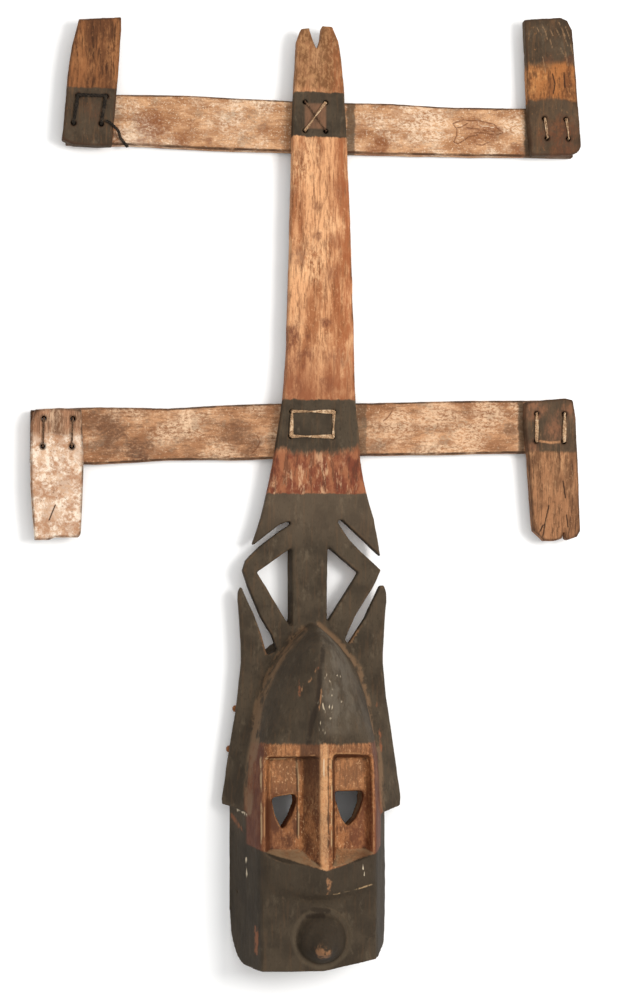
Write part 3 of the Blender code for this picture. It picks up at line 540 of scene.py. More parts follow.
rawBack = {
    "base": (134, 102, 74), "dark": (98, 72, 52), "pale": (156, 124, 94), "line": (70, 50, 36),
    "fleckAmount": 0.2,
}

barChoices = {
    "upper_crossbar": {
        "grain": "x",
        "base": (194, 150, 112), "dark": (158, 113, 78), "pale": (232, 210, 184), "line": (120, 84, 60),
        # edge: the colour painted along the sharp edges, a painted shade line
        "edge": (72, 50, 36),
        "shorter": 3.0, "grainAmount": 0.40, "ringAmount": 0.20, "fleckAmount": 0.70,
        # stains: where and how wide in millimetres, and how strong
        "stains": (
            (-185, 969, 24, 0.75), (-150, 960, 18, 0.6), (-232, 960, 16, 0.55), (-118, 957, 6, 0.75),
            (-55, 974, 10, 0.5), (80, 951, 18, 0.75), (60, 976, 14, 0.45), (252, 955, 12, 0.6),
        ),
        "stainTint": (116, 66, 38),
        # the outer strips darken the bar's ends under the end boards: painted shadow; the strip by the
        # plank is paint
        "strips": ((0.0495, 0.0050, 0.75), (0.2975, 0.0385, 0.80), (-0.2870, 0.0400, 0.85)),
        "knot": ((200, 977, 18, 0.6), (218, 977, 13, 0.7)),
        "washed": ((130, 985, 40), (-100, 985, 30), (245, 985, 20), (-205, 950, 20)),
        "shift": (0.1, 0.0, 0.0),
    },
    "lower_crossbar": {
        "grain": "x",
        "base": (180, 134, 98), "dark": (140, 97, 67), "pale": (220, 188, 156), "line": (104, 72, 50),
        # edge: painted shade along the sharp edges
        "edge": (66, 47, 35),
        "shorter": 2.2, "grainAmount": 0.45, "ringAmount": 0.30, "fleckAmount": 0.55,
        "stains": (
            (-232, 610, 26, 0.85), (-196, 596, 24, 0.9), (-200, 582, 14, 1.0), (-250, 626, 16, 0.6),
            (-85, 612, 18, 0.75), (-70, 594, 14, 0.75), (-140, 590, 14, 0.5), (240, 622, 10, 0.6),
            (80, 600, 12, 0.5),
        ),
        "stainTint": (98, 68, 50),
        "strips": ((0.2535, 0.0035, 0.70), (0.0620, 0.0060, 0.55)),
        "knot": (),
        "washed": (
            (147, 638, 26), (150, 601, 18), (-140, 620, 20), (215, 636, 26), (185, 612, 24),
            (105, 628, 24), (-290, 620, 20),
        ),
        "shift": (0.4, 0.2, 0.0),
    },
}


def stainMask(place, stains, wobble):
    # ragged round patches, each a place and a radius in millimetres and how strong it is
    plan, patches = planOf(place), []
    for x, y, radius, strength in stains:
        ragged = fromSpot(plan, x / 1000, y / 1000) * (1000 / radius) + (wobble - 0.5) * 3.2
        patches.append(below(ragged, 0.35, 1.15) * strength)
    return reduce(larger, patches)


def endWood(material, place, shade, facing, grainWay, grain, flecks, smudge):
    # the back is bare wood, and all of it is dry and a little rough
    back = woodShade(place, {**rawBack, "grain": grainWay})[0]
    shade = mixed(below(facing[2], -0.5, -0.3), shade, back)
    return endFinish(material, shade, 0.72 + grain * 0.18, flecks * 0.7 + grain + smudge * 0.8)


def barFinish(name):
    choice = barChoices[name]
    material, place, (across, _, _), facing = startFinish(name)
    shade, grain, _, flecks = woodShade(place, choice)
    smudge = spots(place, 75, 6, 0.68, (0.55, 1, 1), choice["shift"])
    blot = spots(place, 34, 5, 0.62, (0.7, 1, 1), choice["shift"])
    crust = spots(place, 380, 5, 0.76, (0.6, 1, 1), choice["shift"])
    greyed = spots(place, 42, 4, 0.6, (1, 1, 1), (0.3, 0.6, 0.1))
    washed = stainMask(place, [(*spot, 0.85) for spot in choice["washed"]], blot)
    stained = stainMask(place, choice["stains"], smudge)
    shade = coated(
        shade,
        (washed * smooth(crust, 0.42, 0.56) * 0.75, choice["pale"]),
        (smooth(smudge, 0.54, 0.64) * 0.65, choice["dark"]),
        (stained * (0.40 + smooth(crust, 0.38, 0.54) * 0.60), choice["stainTint"]),
        (smooth(greyed, 0.54, 0.66) * smooth(crust, 0.38, 0.54) * 0.45, (138, 118, 98)),
    )
    if choice["knot"]:
        knot = stainMask(place, choice["knot"], smudge)
        shade = mixed(knot * (0.35 + smooth(crust, 0.40, 0.56) * 0.60), shade, choice["stainTint"])
    cracked = smooth(markOf(place, "cracks"), 0.25, 0.80)
    scratched = smooth(markOf(place, "scratches"), 0.25, 0.80)
    shade = mixed(cracked * (0.45 + smooth(crust, 0.38, 0.54) * 0.45), shade, (104, 66, 44))
    shade = mixed(scratched * smooth(crust, 0.34, 0.50) * 0.70, shade, choice["pale"])
    # charcoal strips: paint spilt from the bands, and at the upper bar's ends painted shadow under the end
    # boards
    for middle, half, strength in choice["strips"]:
        strip = within(across + (smudge - 0.5) * 0.010, middle - half, middle + half, 0.0012)
        shade = mixed(strip * strength, shade, charcoalPaint["base"])
    # the sharp edges take the edge colour: painted shade
    wornAndShadedEdges = smooth(markOf(place, "edgeWearAndShade"), 0.08, 0.55)
    shade = mixed(wornAndShadedEdges * (0.45 + smooth(smudge, 0.36, 0.54) * 0.50), shade, choice["edge"])
    return endWood(material, place, shade, facing, "x", grain, flecks, smudge)


boardChoices = {
    # bands: from, to, how soft their edge is and how much of the wood the paint hides
    "upper_left_end_board": {
        "base": (136, 88, 54), "dark": (94, 59, 37), "pale": (160, 110, 70), "line": (58, 37, 25),
        "bands": ((0.900, 1.0126, 0.0012, 0.95),),
        "rubbed": ((-256, 983, 14, 0.75),),
        "rubTint": (86, 60, 44),
        "shift": (0.2, 0.1, 0.0),
        "grainAmount": 0.75,
    },
    "upper_right_end_board": {
        "base": (154, 99, 56), "dark": (110, 68, 40), "pale": (186, 132, 82), "line": (76, 49, 32),
        "bands": ((1.0576, 1.200, 0.0060, 0.95), (0.900, 1.0150, 0.0022, 0.90)),
        "rubbed": (
            (294, 974, 24, 0.95), (300, 953, 22, 0.9), (283, 1062, 10, 0.7), (308, 1063, 8, 0.7),
        ),
        "rubTint": (90, 56, 40),
        "shift": (0.5, 0.3, 0.0),
        "grainAmount": 0.7, "shorter": 1.8, "wave": 0.030,
    },
    "lower_left_end_board": {
        "base": (160, 118, 90), "dark": (112, 78, 56), "pale": (204, 172, 142), "line": (88, 60, 44),
        "bands": (),
        "rubbed": (),
        "shift": (0.8, 0.5, 0.0),
    },
    "lower_right_end_board": {
        "base": (150, 106, 74), "dark": (106, 73, 50), "pale": (182, 138, 100), "line": (66, 44, 31),
        "bands": ((0.5942, 0.700, 0.0020, 0.88),),
        "rubbed": (
            (291, 620, 18, 0.85), (266, 646, 18, 0.9), (307, 645, 14, 0.8), (262, 600, 12, 0.7),
        ),
        "rubTint": (124, 84, 62),
        "shift": (1.1, 0.7, 0.0),
        "grainAmount": 0.75,
    },
}


weathering = {
    "level": (0.604, 0.612),
    "blots": ((-275, 590, 20, 0.6), (-285.3, 551, 11, 0.75), (-300, 517, 14, 0.6)),
}


def weathered(place, along, smudge, shade):
    # below its holes the lower left board is weathered pale, with small brown pits and blots
    broad = spots(place, 48, 4, 0.62, (1, 1, 1), (0.4, 0.2, 0.5))
    crust = spots(place, 120, 8, 0.82)
    pits = spots(place, 360, 5, 0.78, (1, 1, 1), (0.7, 0.1, 0.3))
    brown = stainMask(place, weathering["blots"], smudge)
    pale = coated(
        mixed(smooth(broad, 0.42, 0.58), (204, 170, 142), (172, 130, 100)),
        (smooth(crust, 0.44, 0.58) * (0.9 - smooth(broad, 0.48, 0.62) * 0.6), (238, 224, 206)),
        (brown * (0.35 + smooth(crust, 0.40, 0.60) * 0.5), (158, 116, 86)),
        (smooth(pits, 0.57, 0.64) * 0.75, (122, 88, 64)),
    )
    low = below(along + (smudge - 0.5) * 0.012, *weathering["level"])
    return mixed(low * 0.92, shade, pale)


def boardFinish(name):
    choice = boardChoices[name]
    material, place, (_, along, _), facing = startFinish(name)
    shade, grain, patches, flecks = woodShade(place, choice)
    smudge = spots(place, 75, 6, 0.68, (1, 0.5, 1), choice["shift"])
    shade = mixed(smooth(smudge, 0.53, 0.70) * 0.65, shade, choice["dark"])
    if name == "lower_left_end_board":
        shade = weathered(place, along, smudge, shade)
    ragged = along + (smudge - 0.5) * 0.007 + (grain - 0.5) * 0.004
    ragged = ragged + (patches - 0.5) * choice.get("wave", 0.0)
    bands = [within(ragged, low, high, soft) * amount for low, high, soft, amount in choice["bands"]]
    if bands:
        rubbed = stainMask(place, choice["rubbed"], smudge) * (0.30 + smooth(flecks, 0.40, 0.56) * 0.60)
        paint = mixed(rubbed, charcoalShade(place, 0.6), choice["rubTint"])
        shade = mixed(reduce(larger, bands) * (1 - smooth(flecks, 0.60, 0.70) * 0.4), shade, paint)
    bare = smooth(markOf(place, "bare"), 0.30, 0.85)
    wornAndShadedEdges = smooth(markOf(place, "edgeWearAndShade"), 0.15, 0.8)
    cracked = smooth(markOf(place, "cracks"), 0.25, 0.75)
    scratched = smooth(markOf(place, "scratches"), 0.25, 0.85)
    shade = coated(
        shade,
        (bare * (0.55 + smooth(flecks, 0.40, 0.56) * 0.40), (168, 122, 86)),
        # the sharp edges are darker
        (wornAndShadedEdges * (0.30 + smooth(smudge, 0.38, 0.56) * 0.60), (64, 45, 33)),
        (cracked * 0.9, (44, 31, 24)),
        (scratched * smooth(flecks, 0.36, 0.50) * 0.55, (152, 120, 88)),
    )
    return endWood(material, place, shade, facing, "y", grain, flecks, smudge)


plankChoice = {
    "base": (208, 155, 112), "dark": (150, 96, 62), "pale": (224, 176, 132), "line": (98, 58, 36),
    "shift": (0.3, 0.9, 0.0),
    "grainAmount": 0.50, "fleckAmount": 0.35, "ringAmount": 0.60, "shorter": 1.3,
    # dark stains in the plank: where and how wide in millimetres, and how strong
    "stains": (
        (-26, 720, 24, 0.9), (-12, 700, 18, 0.8), (-36, 690, 20, 0.7), (-20, 665, 20, 0.75),
        (18, 742, 7, 1.0), (6, 845, 6, 0.8), (4, 880, 8, 0.6), (-30, 820, 14, 0.65),
        (-14, 824, 12, 0.65), (-30, 900, 12, 0.45), (28, 840, 10, 0.5), (22, 800, 12, 0.55),
        (30, 700, 14, 0.65), (20, 672, 12, 0.75), (36, 900, 14, 0.45),
    ),
    "stainTint": (106, 62, 44),
}

maskBands = {"upper": (0.9614, 1.0140), "lower": (0.5900, 0.6522), "blackFrom": 0.5425}

facePanel = {"lowOutside": 0.1350, "lowMiddle": 0.1150, "middle": 0.006, "high": 0.2565, "deepest": 0.056}

mouth = {"middle": (0.0030, 0.0390), "cone": (0.0225, 0.0270), "ring": (0.0300, 0.0345)}

# marks of the mask's mesh: where each begins to show, where it is full, how strong it is,
# how patchy it is and its colour
markInks = {
    # painted shade: the hollows and creases of the carving are darkened
    "creviceShade": (0.30, 1.1, 0.70, 0.0, (40, 30, 23)),
    "creaseLine": (0.15, 0.90, 0.65, 0.7, (120, 94, 70)),
    "redMarks": (0.30, 0.90, 0.65, 0.7, (136, 84, 56)),
    "paleMarks": (0.25, 0.90, 0.70, 0.7, (172, 144, 108)),
    # painted shade: the dent along the keel and the crease above the mouth cone
    "darkShadeLines": (0.20, 0.90, 0.70, 0.5, (36, 29, 23)),
    "fineLines": (0.20, 0.80, 0.80, 0.3, (56, 37, 25)),
    "tanPatches": (0.25, 0.85, 0.70, 0.7, (150, 108, 76)),
    "tanLines": (0.30, 0.90, 0.65, 0.7, (152, 112, 80)),
    "scratches": (0.30, 0.80, 0.80, 0.0, (206, 190, 164)),
}


def maskFinish():
    material, place, (across, along, up), facing = startFinish("maskPaint")
    wood, grain, _, flecks = woodShade(place, plankChoice)
    smudge = spots(place, 75, 6, 0.68, (1, 0.45, 1))
    broad = spots(place, 24, 4, 0.6, (1, 0.4, 1))
    streaks = spots(place, 170, 6, 0.72, (1, 0.28, 1), (0.2, 0.4, 0.0))
    side = unsigned(across)

    # the top of the plank is browner and dirtier, and the wood gets redder towards the lower band
    top = smooth(along + (smudge - 0.5) * 0.03, 1.006, 1.024)
    stained = stainMask(place, plankChoice["stains"], smudge)
    lowWood = below(along + (broad - 0.5) * 0.16, 0.66, 0.76)
    brownEdge = smooth(across, 0.012, 0.044) * smooth(along, 0.64, 0.70)
    redWood = coated(
        mixed(smooth(smudge, 0.42, 0.58), (142, 90, 62), (108, 58, 41)),
        (smooth(grain, 0.50, 0.60) * 0.60, (70, 44, 34)),
        (smooth(streaks, 0.50, 0.62) * smooth(broad, 0.40, 0.54) * 0.75, (190, 150, 116)),
    )
    wood = coated(
        wood,
        (top * (0.55 + smooth(smudge, 0.40, 0.56) * 0.42), (110, 74, 47)),
        (top * smooth(flecks, 0.48, 0.58) * 0.42, (180, 136, 94)),
        (stained * (0.35 + smooth(flecks, 0.40, 0.58) * 0.65), plankChoice["stainTint"]),
        (lowWood * (0.46 + smooth(smudge, 0.42, 0.58) * 0.44), (130, 78, 52)),
        (brownEdge * smooth(grain, 0.40, 0.56) * 0.65, (152, 88, 54)),
        (below(along + (smudge - 0.5) * 0.02, 0.585, 0.600), redWood),
    )

    # the face is orange brown, redder at its lower corners and darker at its lower left beside the nose;
    # the nose's left flank has painted shade, its ridge a painted highlight, and the faces turned sideways
    # painted shade
    panelSpots = spots(place, 62, 6, 0.68, (1, 0.7, 1))
    panelGrain = spots(place, 330, 5, 0.66, (1, 0.12, 1))
    panelFlecks = spots(place, 400, 5, 0.75, (1, 0.6, 1))
    above = smooth(along + (panelSpots - 0.5) * 0.03, 0.196, 0.206) * below(side, 0.050, 0.060)
    lowCorner = below(along, 0.165, 0.225) * smooth(side, 0.022, 0.052)
    lowerLeftDarker = below(across, -0.030, -0.020) * below(along, 0.185, 0.215)
    frameEdge = smooth(side, 0.061, 0.066)
    brow = smooth(along + (panelSpots - 0.5) * 0.01, 0.238, 0.246)
    noseHigh = smooth(up, 0.0935, 0.0965)
    noseShadedSide = within(across, -0.0235, -0.0010, 0.0012) * noseHigh
    ridgeHighlight = within(across, -0.0010, 0.0085, 0.0015) * noseHigh
    shelf = smooth(facing[1], 0.35, 0.65) * below(along, 0.146, 0.150) * smooth(up, 0.080, 0.088)
    panel = coated(
        mixed(smooth(panelSpots, 0.42, 0.58), (154, 102, 64), (108, 66, 40)),
        (smooth(panelGrain, 0.50, 0.60) * 0.60, (74, 46, 31)),
        (smooth(broad, 0.50, 0.62) * smooth(flecks, 0.44, 0.56) * 0.55, (188, 142, 98)),
        (smooth(panelFlecks, 0.53, 0.62) * 0.65, (70, 42, 28)),
        (below(panelFlecks, 0.36, 0.44) * 0.60, (210, 168, 124)),
        (above * 0.20 * smooth(side, 0.012, 0.022), (178, 132, 92)),
        (lowCorner * (0.40 + smooth(panelSpots, 0.38, 0.58) * 0.5), (102, 60, 40)),
        (lowerLeftDarker * (0.30 + smooth(panelSpots, 0.38, 0.56) * 0.5), (76, 46, 30)),
        (frameEdge * (0.40 + smooth(panelSpots, 0.38, 0.56) * 0.4), (106, 60, 38)),
        (brow * (0.15 + smooth(panelGrain, 0.44, 0.58) * 0.45), (96, 60, 38)),
        # painted shade on the faces that turn sideways
        (below(facing[2], 0.35, 0.60) * (0.60 + smooth(panelSpots, 0.40, 0.58) * 0.30), (76, 38, 20)),
        # painted shade on the nose's left flank, darker higher up
        (noseShadedSide * (0.35 + smooth(along, 0.165, 0.215) * 0.45), (72, 48, 34)),
        # painted highlight on the nose ridge, broken by flecks
        (ridgeHighlight * (0.15 + smooth(panelFlecks, 0.42, 0.56) * 0.40), (198, 154, 112)),
        (shelf * (0.35 + smooth(panelSpots, 0.36, 0.58) * 0.5), (128, 104, 78)),
    )

    # the lip, the chin and the cone of the mouth are darker than the ears and the forehead
    neck = smooth(along, 0.470, 0.520) * below(along, 0.545, 0.560)
    onDome = smooth(along, 0.262, 0.280) * smooth(up, 0.066, 0.086)
    domeLitSide = smooth(across, -0.002, 0.006) * (1 - smooth(across, 0.020, 0.052) * 0.6) * onDome
    low = below(along + (broad - 0.5) * 0.05, 0.130, 0.170)
    high = smooth(up, 0.085, 0.095)
    onLip = low * smooth(along, 0.082, 0.092) * high
    fromMouth = fromSpot(planOf(place), *mouth["middle"])
    cone = below(fromMouth + (smudge - 0.5) * 0.006, *mouth["cone"]) * high
    ring = within(fromMouth + (smudge - 0.5) * 0.004, *mouth["ring"], 0.0020) * smooth(up, 0.080, 0.090)
    rubbed = within(across, -0.0080, 0.0170, 0.0016) * within(along, 0.9710, 1.0010, 0.0016)
    paint = coated(
        charcoalShade(place, 0.22),
        (neck * 0.16, (120, 102, 84)),
        # painted shade on the dome's left facet, and a painted highlight on its right facet beside the keel
        (onDome * below(across, -0.006, 0.004) * 0.35, charcoalPaint["dark"]),
        (domeLitSide * (0.1 + smooth(smudge, 0.38, 0.60) * 0.5), (100, 92, 81)),
        (low * 0.22, charcoalPaint["dark"]),
        (onLip * 0.40, charcoalPaint["dark"]),
        # painted shade on the sides and undersides of the lower head
        (low * below(facing[2], 0.30, 0.60) * 0.45, (38, 33, 25)),
        (cone * 0.45, (38, 32, 26)),
        (ring * 0.35, charcoalPaint["dusty"]),
        (rubbed * (0.45 + smooth(smudge, 0.40, 0.60) * 0.4), (122, 88, 66)),
    )

    # the paint covers the two bands and all below the plank
    ragged = along + (smudge - 0.5) * 0.007 + (grain - 0.5) * 0.004
    upperBand = within(ragged, *maskBands["upper"], 0.0010)
    lowerEdge = along + (smudge - 0.5) * 0.030 + (panelGrain - 0.5) * 0.012 + (broad - 0.5) * 0.03
    bottom, high = maskBands["lower"]
    lowerBand = smooth(lowerEdge, bottom - 0.005, bottom + 0.005)
    lowerBand = lowerBand * below(ragged, high - 0.001, high + 0.001)
    head = below(ragged, maskBands["blackFrom"] - 0.001, maskBands["blackFrom"] + 0.001)
    painted = larger(larger(upperBand, lowerBand), head)

    # inside the face panel the paint stops; its lower edge is a shallow V
    slope = (facePanel["lowOutside"] - facePanel["lowMiddle"]) / 0.065
    lowLine = along - unsigned(across - facePanel["middle"]) * slope
    lowLine = lowLine + (panelSpots - 0.5) * 0.005 + (panelGrain - 0.5) * 0.003
    highLine = along + (panelSpots - 0.5) * 0.007 + (panelGrain - 0.5) * 0.006
    bottom, high, deepest = (facePanel[name] for name in ("lowMiddle", "high", "deepest"))
    inFace = smooth(lowLine, bottom - 0.0010, bottom + 0.0010)
    inFace = inFace * below(highLine, high - 0.0018, high + 0.0018)
    inFace = inFace * smooth(up + (panelSpots - 0.5) * 0.016, deepest - 0.005, deepest + 0.005)
    inFace = inFace * below(side, 0.0795, 0.0815)
    shade = mixed(painted, wood, paint)
    shade = mixed(inFace * (1 - smooth(flecks, 0.60, 0.70) * 0.35), shade, panel)

    for name, (low, high, amount, patchy, ink) in markInks.items():
        mark = markOf(place, name)
        if patchy:
            mark = mark * (1 - patchy + smooth(panelSpots, 0.38, 0.58) * (patchy + 0.2))
        shade = mixed(smooth(mark, low, high) * amount, shade, ink)
    wornAndShadedEdges = markOf(place, "edgeWearAndShade") * (0.35 + smooth(panelSpots, 0.40, 0.60) * 0.85)
    wornAndShadedEdges = smooth(wornAndShadedEdges, 0.35, 1.1)
    plankEdge = smooth(side, 0.040, 0.046) * smooth(along, 0.650, 0.656) * (1 - painted)
    shade = coated(
        shade,
        (wornAndShadedEdges * inFace * 0.42, (186, 140, 96)),
        (wornAndShadedEdges * (1 - inFace) * 0.40, (104, 80, 58)),
        (wornAndShadedEdges * plankEdge * 0.70, (74, 46, 30)),
        (markOf(place, "inside"), woodShade(place, rawBack)[0]),
    )
    rough = 0.80 - inFace * 0.16 + (grain - 0.5) * 0.15
    return endFinish(material, shade, rough, grain * (1 - painted * 0.5) + smudge * 0.8 + flecks * 0.6)


def cordFinish(name, base, dark, pale):
    material, place, _, _ = startFinish(name)
    fibre = spots(place, 900, 3, 0.6)
    shade = mixed(smooth(fibre, 0.40, 0.62), dark, base)
    shade = mixed(smooth(spots(place, 160, 3), 0.50, 0.66) * 0.7, shade, pale)
    return endFinish(material, shade, 0.85, fibre, 0.6, 0.0003)


cordTints = {
    "raffia": ((184, 152, 118), (112, 84, 62), (216, 190, 158)),
    "darkCord": ((46, 40, 34), (26, 22, 19), (68, 58, 48)),
    "brownThread": ((98, 74, 56), (62, 45, 34), (128, 100, 76)),
    "knotFibre": ((150, 98, 62), (96, 60, 38), (180, 126, 84)),
}
finishes = {name: cordFinish(name, *tints) for name, tints in cordTints.items()}
for name, cord in cords.items():
    for finish in lashings[name].get("finish", ("raffia",)):
        cord.data.materials.append(finishes[finish])
for piece in (looseCord, looseKnot):
    piece.data.materials.append(finishes["darkCord"])
for name in ("upper_rim_knot", "lower_rim_knot"):
    nodes[name].data.materials.clear()
    nodes[name].data.materials.append(finishes["knotFibre"])
print("finishes mixed:", len(bpy.data.materials))


# Carving. Each piece is remeshed finely, given its marks, its edge wear and painted shade, and thinned out
# where it is flat.

latticeSize = 48
lattice = np.random.default_rng(11).uniform(-1, 1, (latticeSize,) * 3)
coarser = 1.0  # larger values give larger voxels and coarser pieces


def unevenness(points, size, shift=0.0):  # smooth random heights between -1 and 1, about size metres across
    place = points / np.array(size) + shift
    cell = np.floor(place).astype(int)
    part = place - cell
    part = part * part * (3 - 2 * part)
    total = np.zeros(len(points))
    for corner in itertools.product((0, 1), repeat=3):
        index = (cell + corner) % latticeSize
        weight = np.prod(np.where(corner, part, 1 - part), axis=1)
        total += weight * lattice[index[:, 0], index[:, 1], index[:, 2]]
    return total


def afterModifier(mesh, kind, settings):
    carving = bpy.data.objects.new("carving", mesh)
    bpy.context.scene.collection.objects.link(carving)
    modifier = carving.modifiers.new("carving", kind)
    for name, value in settings.items():
        setattr(modifier, name, value)
    graph = bpy.context.evaluated_depsgraph_get()
    found = bpy.data.meshes.new_from_object(carving.evaluated_get(graph))
    bpy.data.objects.remove(carving)
    return found


def remeshed(node, voxel):
    return afterModifier(nodes[node].data.copy(), "REMESH", {"mode": "VOXEL", "voxel_size": voxel})


def arrayOf(items, name, width, kind=float):
    values = np.empty(len(items) * width, kind)
    items.foreach_get(name, values)
    return values.reshape(-1, width)


def arraysOf(mesh):
    normals = arrayOf(mesh.vertices, "normal", 3)
    return arrayOf(mesh.vertices, "co", 3), normals, arrayOf(mesh.edges, "vertices", 2, int)


def eased(points, edges, rounds, amount=1.0):  # each point moves towards the middle of its neighbours
    first = np.concatenate([edges[:, 0], edges[:, 1]])
    second = np.concatenate([edges[:, 1], edges[:, 0]])
    count = np.maximum(np.bincount(first, minlength=len(points)), 1)[:, None]
    share = np.broadcast_to(amount, (len(points),))[:, None]
    for _ in range(rounds):
        sums = [np.bincount(first, points[second, axis], len(points)) for axis in range(3)]
        points = points * (1 - share) + np.stack(sums, axis=1) / count * share
    return points


def awayFrom(flat, line):  # how far each point of the plan lies from a line of points in millimetres
    line = np.array(line, float) / 1000
    line[:, 1] += shiftY
    nearest = np.full(len(flat), 9.0)
    for start, end in zip(line, line[1:]):
        run = end - start
        share = np.clip((flat - start) @ run / max(run @ run, 1e-12), 0, 1)
        nearest = np.minimum(nearest, np.linalg.norm(flat - start - share[:, None] * run, axis=1))
    return nearest


def bell(values, half):
    return np.exp(-((values / half) ** 2))


def strokes(flat, lines, half):
    total = np.zeros(len(flat))
    for line in lines:
        total = np.maximum(total, bell(awayFrom(flat, line), half))
    return total


def keepMarks(mesh, marks):
    for name, values in marks.items():
        attribute = mesh.attributes.new(name, "FLOAT", "POINT")
        attribute.data.foreach_set("value", values.astype(np.float32))


def thinned(mesh, most):  # fewer triangles where the surface is flat
    triangles = sum(len(face.vertices) - 2 for face in mesh.polygons)
    settings = {"ratio": min(1.0, most / triangles), "use_collapse_triangulate": True}
    fewer = afterModifier(mesh, "DECIMATE", settings)
    fewer.shade_smooth()
    return fewer


# the bulge of the surface: outwards at sharp edges, which take wear and painted edge shade, and inwards in
# hollows, which take painted shade
def wearAndShadeOf(points, normals, edges, voxel):
    bulge = ((points - eased(points, edges, 5)) * normals).sum(axis=1) / (0.55 * voxel)
    return np.clip(bulge, 0, 2), np.clip(-bulge, 0, 2)


maskCarving = {
    "slot": "painted_wood",
    "voxel": 0.0015,
    "triangles": 190000,
    "unevenness": ((0.030, 0.00045), (0.009, 0.00022)),
    "grain": ((0.0022, 0.030, 0.0022), 0.00012),
    "creaseDepth": 0.0008,
    "darkDepth": 0.0009,
    "cutAbove": 0.25,  # the creases and the dark shade lines above this are cut into the wood
    "lowest": 0.0001,  # the rim stays on the floor
    "lipEdge": ((-64, 101), (-40, 92), (0, 86), (40, 92), (64, 101)),
    "creases": (
        (
            (-11, 386), (-26, 372), (-38, 355), (-49, 338), (-56, 320),
            (-63, 303), (-67, 280), (-69, 257), (-75, 224), (-76, 178),
        ),
        (
            (7, 391), (21, 379), (36, 366), (47, 352), (56, 340),
            (65, 303), (73, 256), (78, 239), (80, 179),
        ),
    ),
}

# marks: half their width, how high up they begin, and their lines in millimetres from the chin
maskMarks = {
    "scratches": (0.0008, 0.0, (
        ((3.1, 241), (3.1, 221)), ((-77.5, 125), (-78, 119)), ((-77, 112), (-77.5, 104)),
        ((48.6, 120), (50.2, 109)), ((-88, 178), (-80, 176), (-73, 172)), ((24, 299), (25.5, 300)),
        ((-33, 260), (-31, 259)),
    )),
    "paleMarks": (0.0010, 0.07, (
        ((-24, 239), (-22, 214), (-21.5, 200), (-22, 150)), ((-63, 240), (-44, 239), (-25, 241)),
        ((11.5, 243), (12, 200), (12, 142)), ((-65, 240), (-65.5, 190), (-65, 145)),
        ((15, 88.5), (36, 92), (60, 98)),
    )),
    # painted shade: the dent beside the dome's keel, also cut in, and the shadow above the mouth cone
    "darkShadeLines": (0.0034, 0.05, (
        ((3, 366), (0, 344), (-2.5, 315), (-5, 298), (-12, 276), (-14, 258)),
        ((-18, 68), (-8, 71), (10, 69)), ((-14, 64), (4, 65)),
    )),
    "redMarks": (0.0020, 0.0, (
        ((-2.4, 346), (-3.2, 342)), ((-69.4, 51), (-69.3, 20)), ((-90, 170), (-84, 160), (-78, 153)),
        ((76, 302), (78.5, 267), (81, 244)), ((-23, 328), (-24, 311)),
    )),
    "fineLines": (0.0012, 0.085, (
        ((8, 241), (8.5, 200), (8.5, 140)), ((-24.5, 239), (-23, 200), (-23.5, 150)),
        ((13.5, 238), (14, 200), (14, 143)),
    )),
    "tanPatches": (0.0020, 0.0, (
        ((6.8, 106), (8.2, 98), (7.4, 90)), ((9.8, 103), (9.2, 93)),
    )),
    "tanLines": (0.0009, 0.0, (
        ((-4, 345), (-6.8, 339), (-8.2, 334)), ((-10, 330), (-13, 326), (-15, 324)),
        ((0.5, 318), (-0.5, 306), (-2, 296)), ((-20, 324), (-21, 316)),
    )),
}


def speckles(low, high, count, seed):
    chance = np.random.default_rng(seed)
    found = []
    for _ in range(count):
        x, y = chance.uniform(low, high)
        found.append(((x, y), (x + chance.uniform(-0.8, 0.8), y + chance.uniform(0.3, 2.4))))
    return found


def carvedPiece(node, mesh, points, choice, finish):
    mesh.vertices.foreach_set("co", points.ravel())
    mesh.update()
    mesh = thinned(mesh, choice["triangles"])
    mesh.name = "carved_" + node
    mesh.materials.clear()
    mesh.materials.append(finish)
    return addPiece("carved_" + node, mesh, choice["slot"], node)


def climb(values, start, run):  # 0 below the start and 1 from start + run on
    return np.clip((values - start) / run, 0, 1)


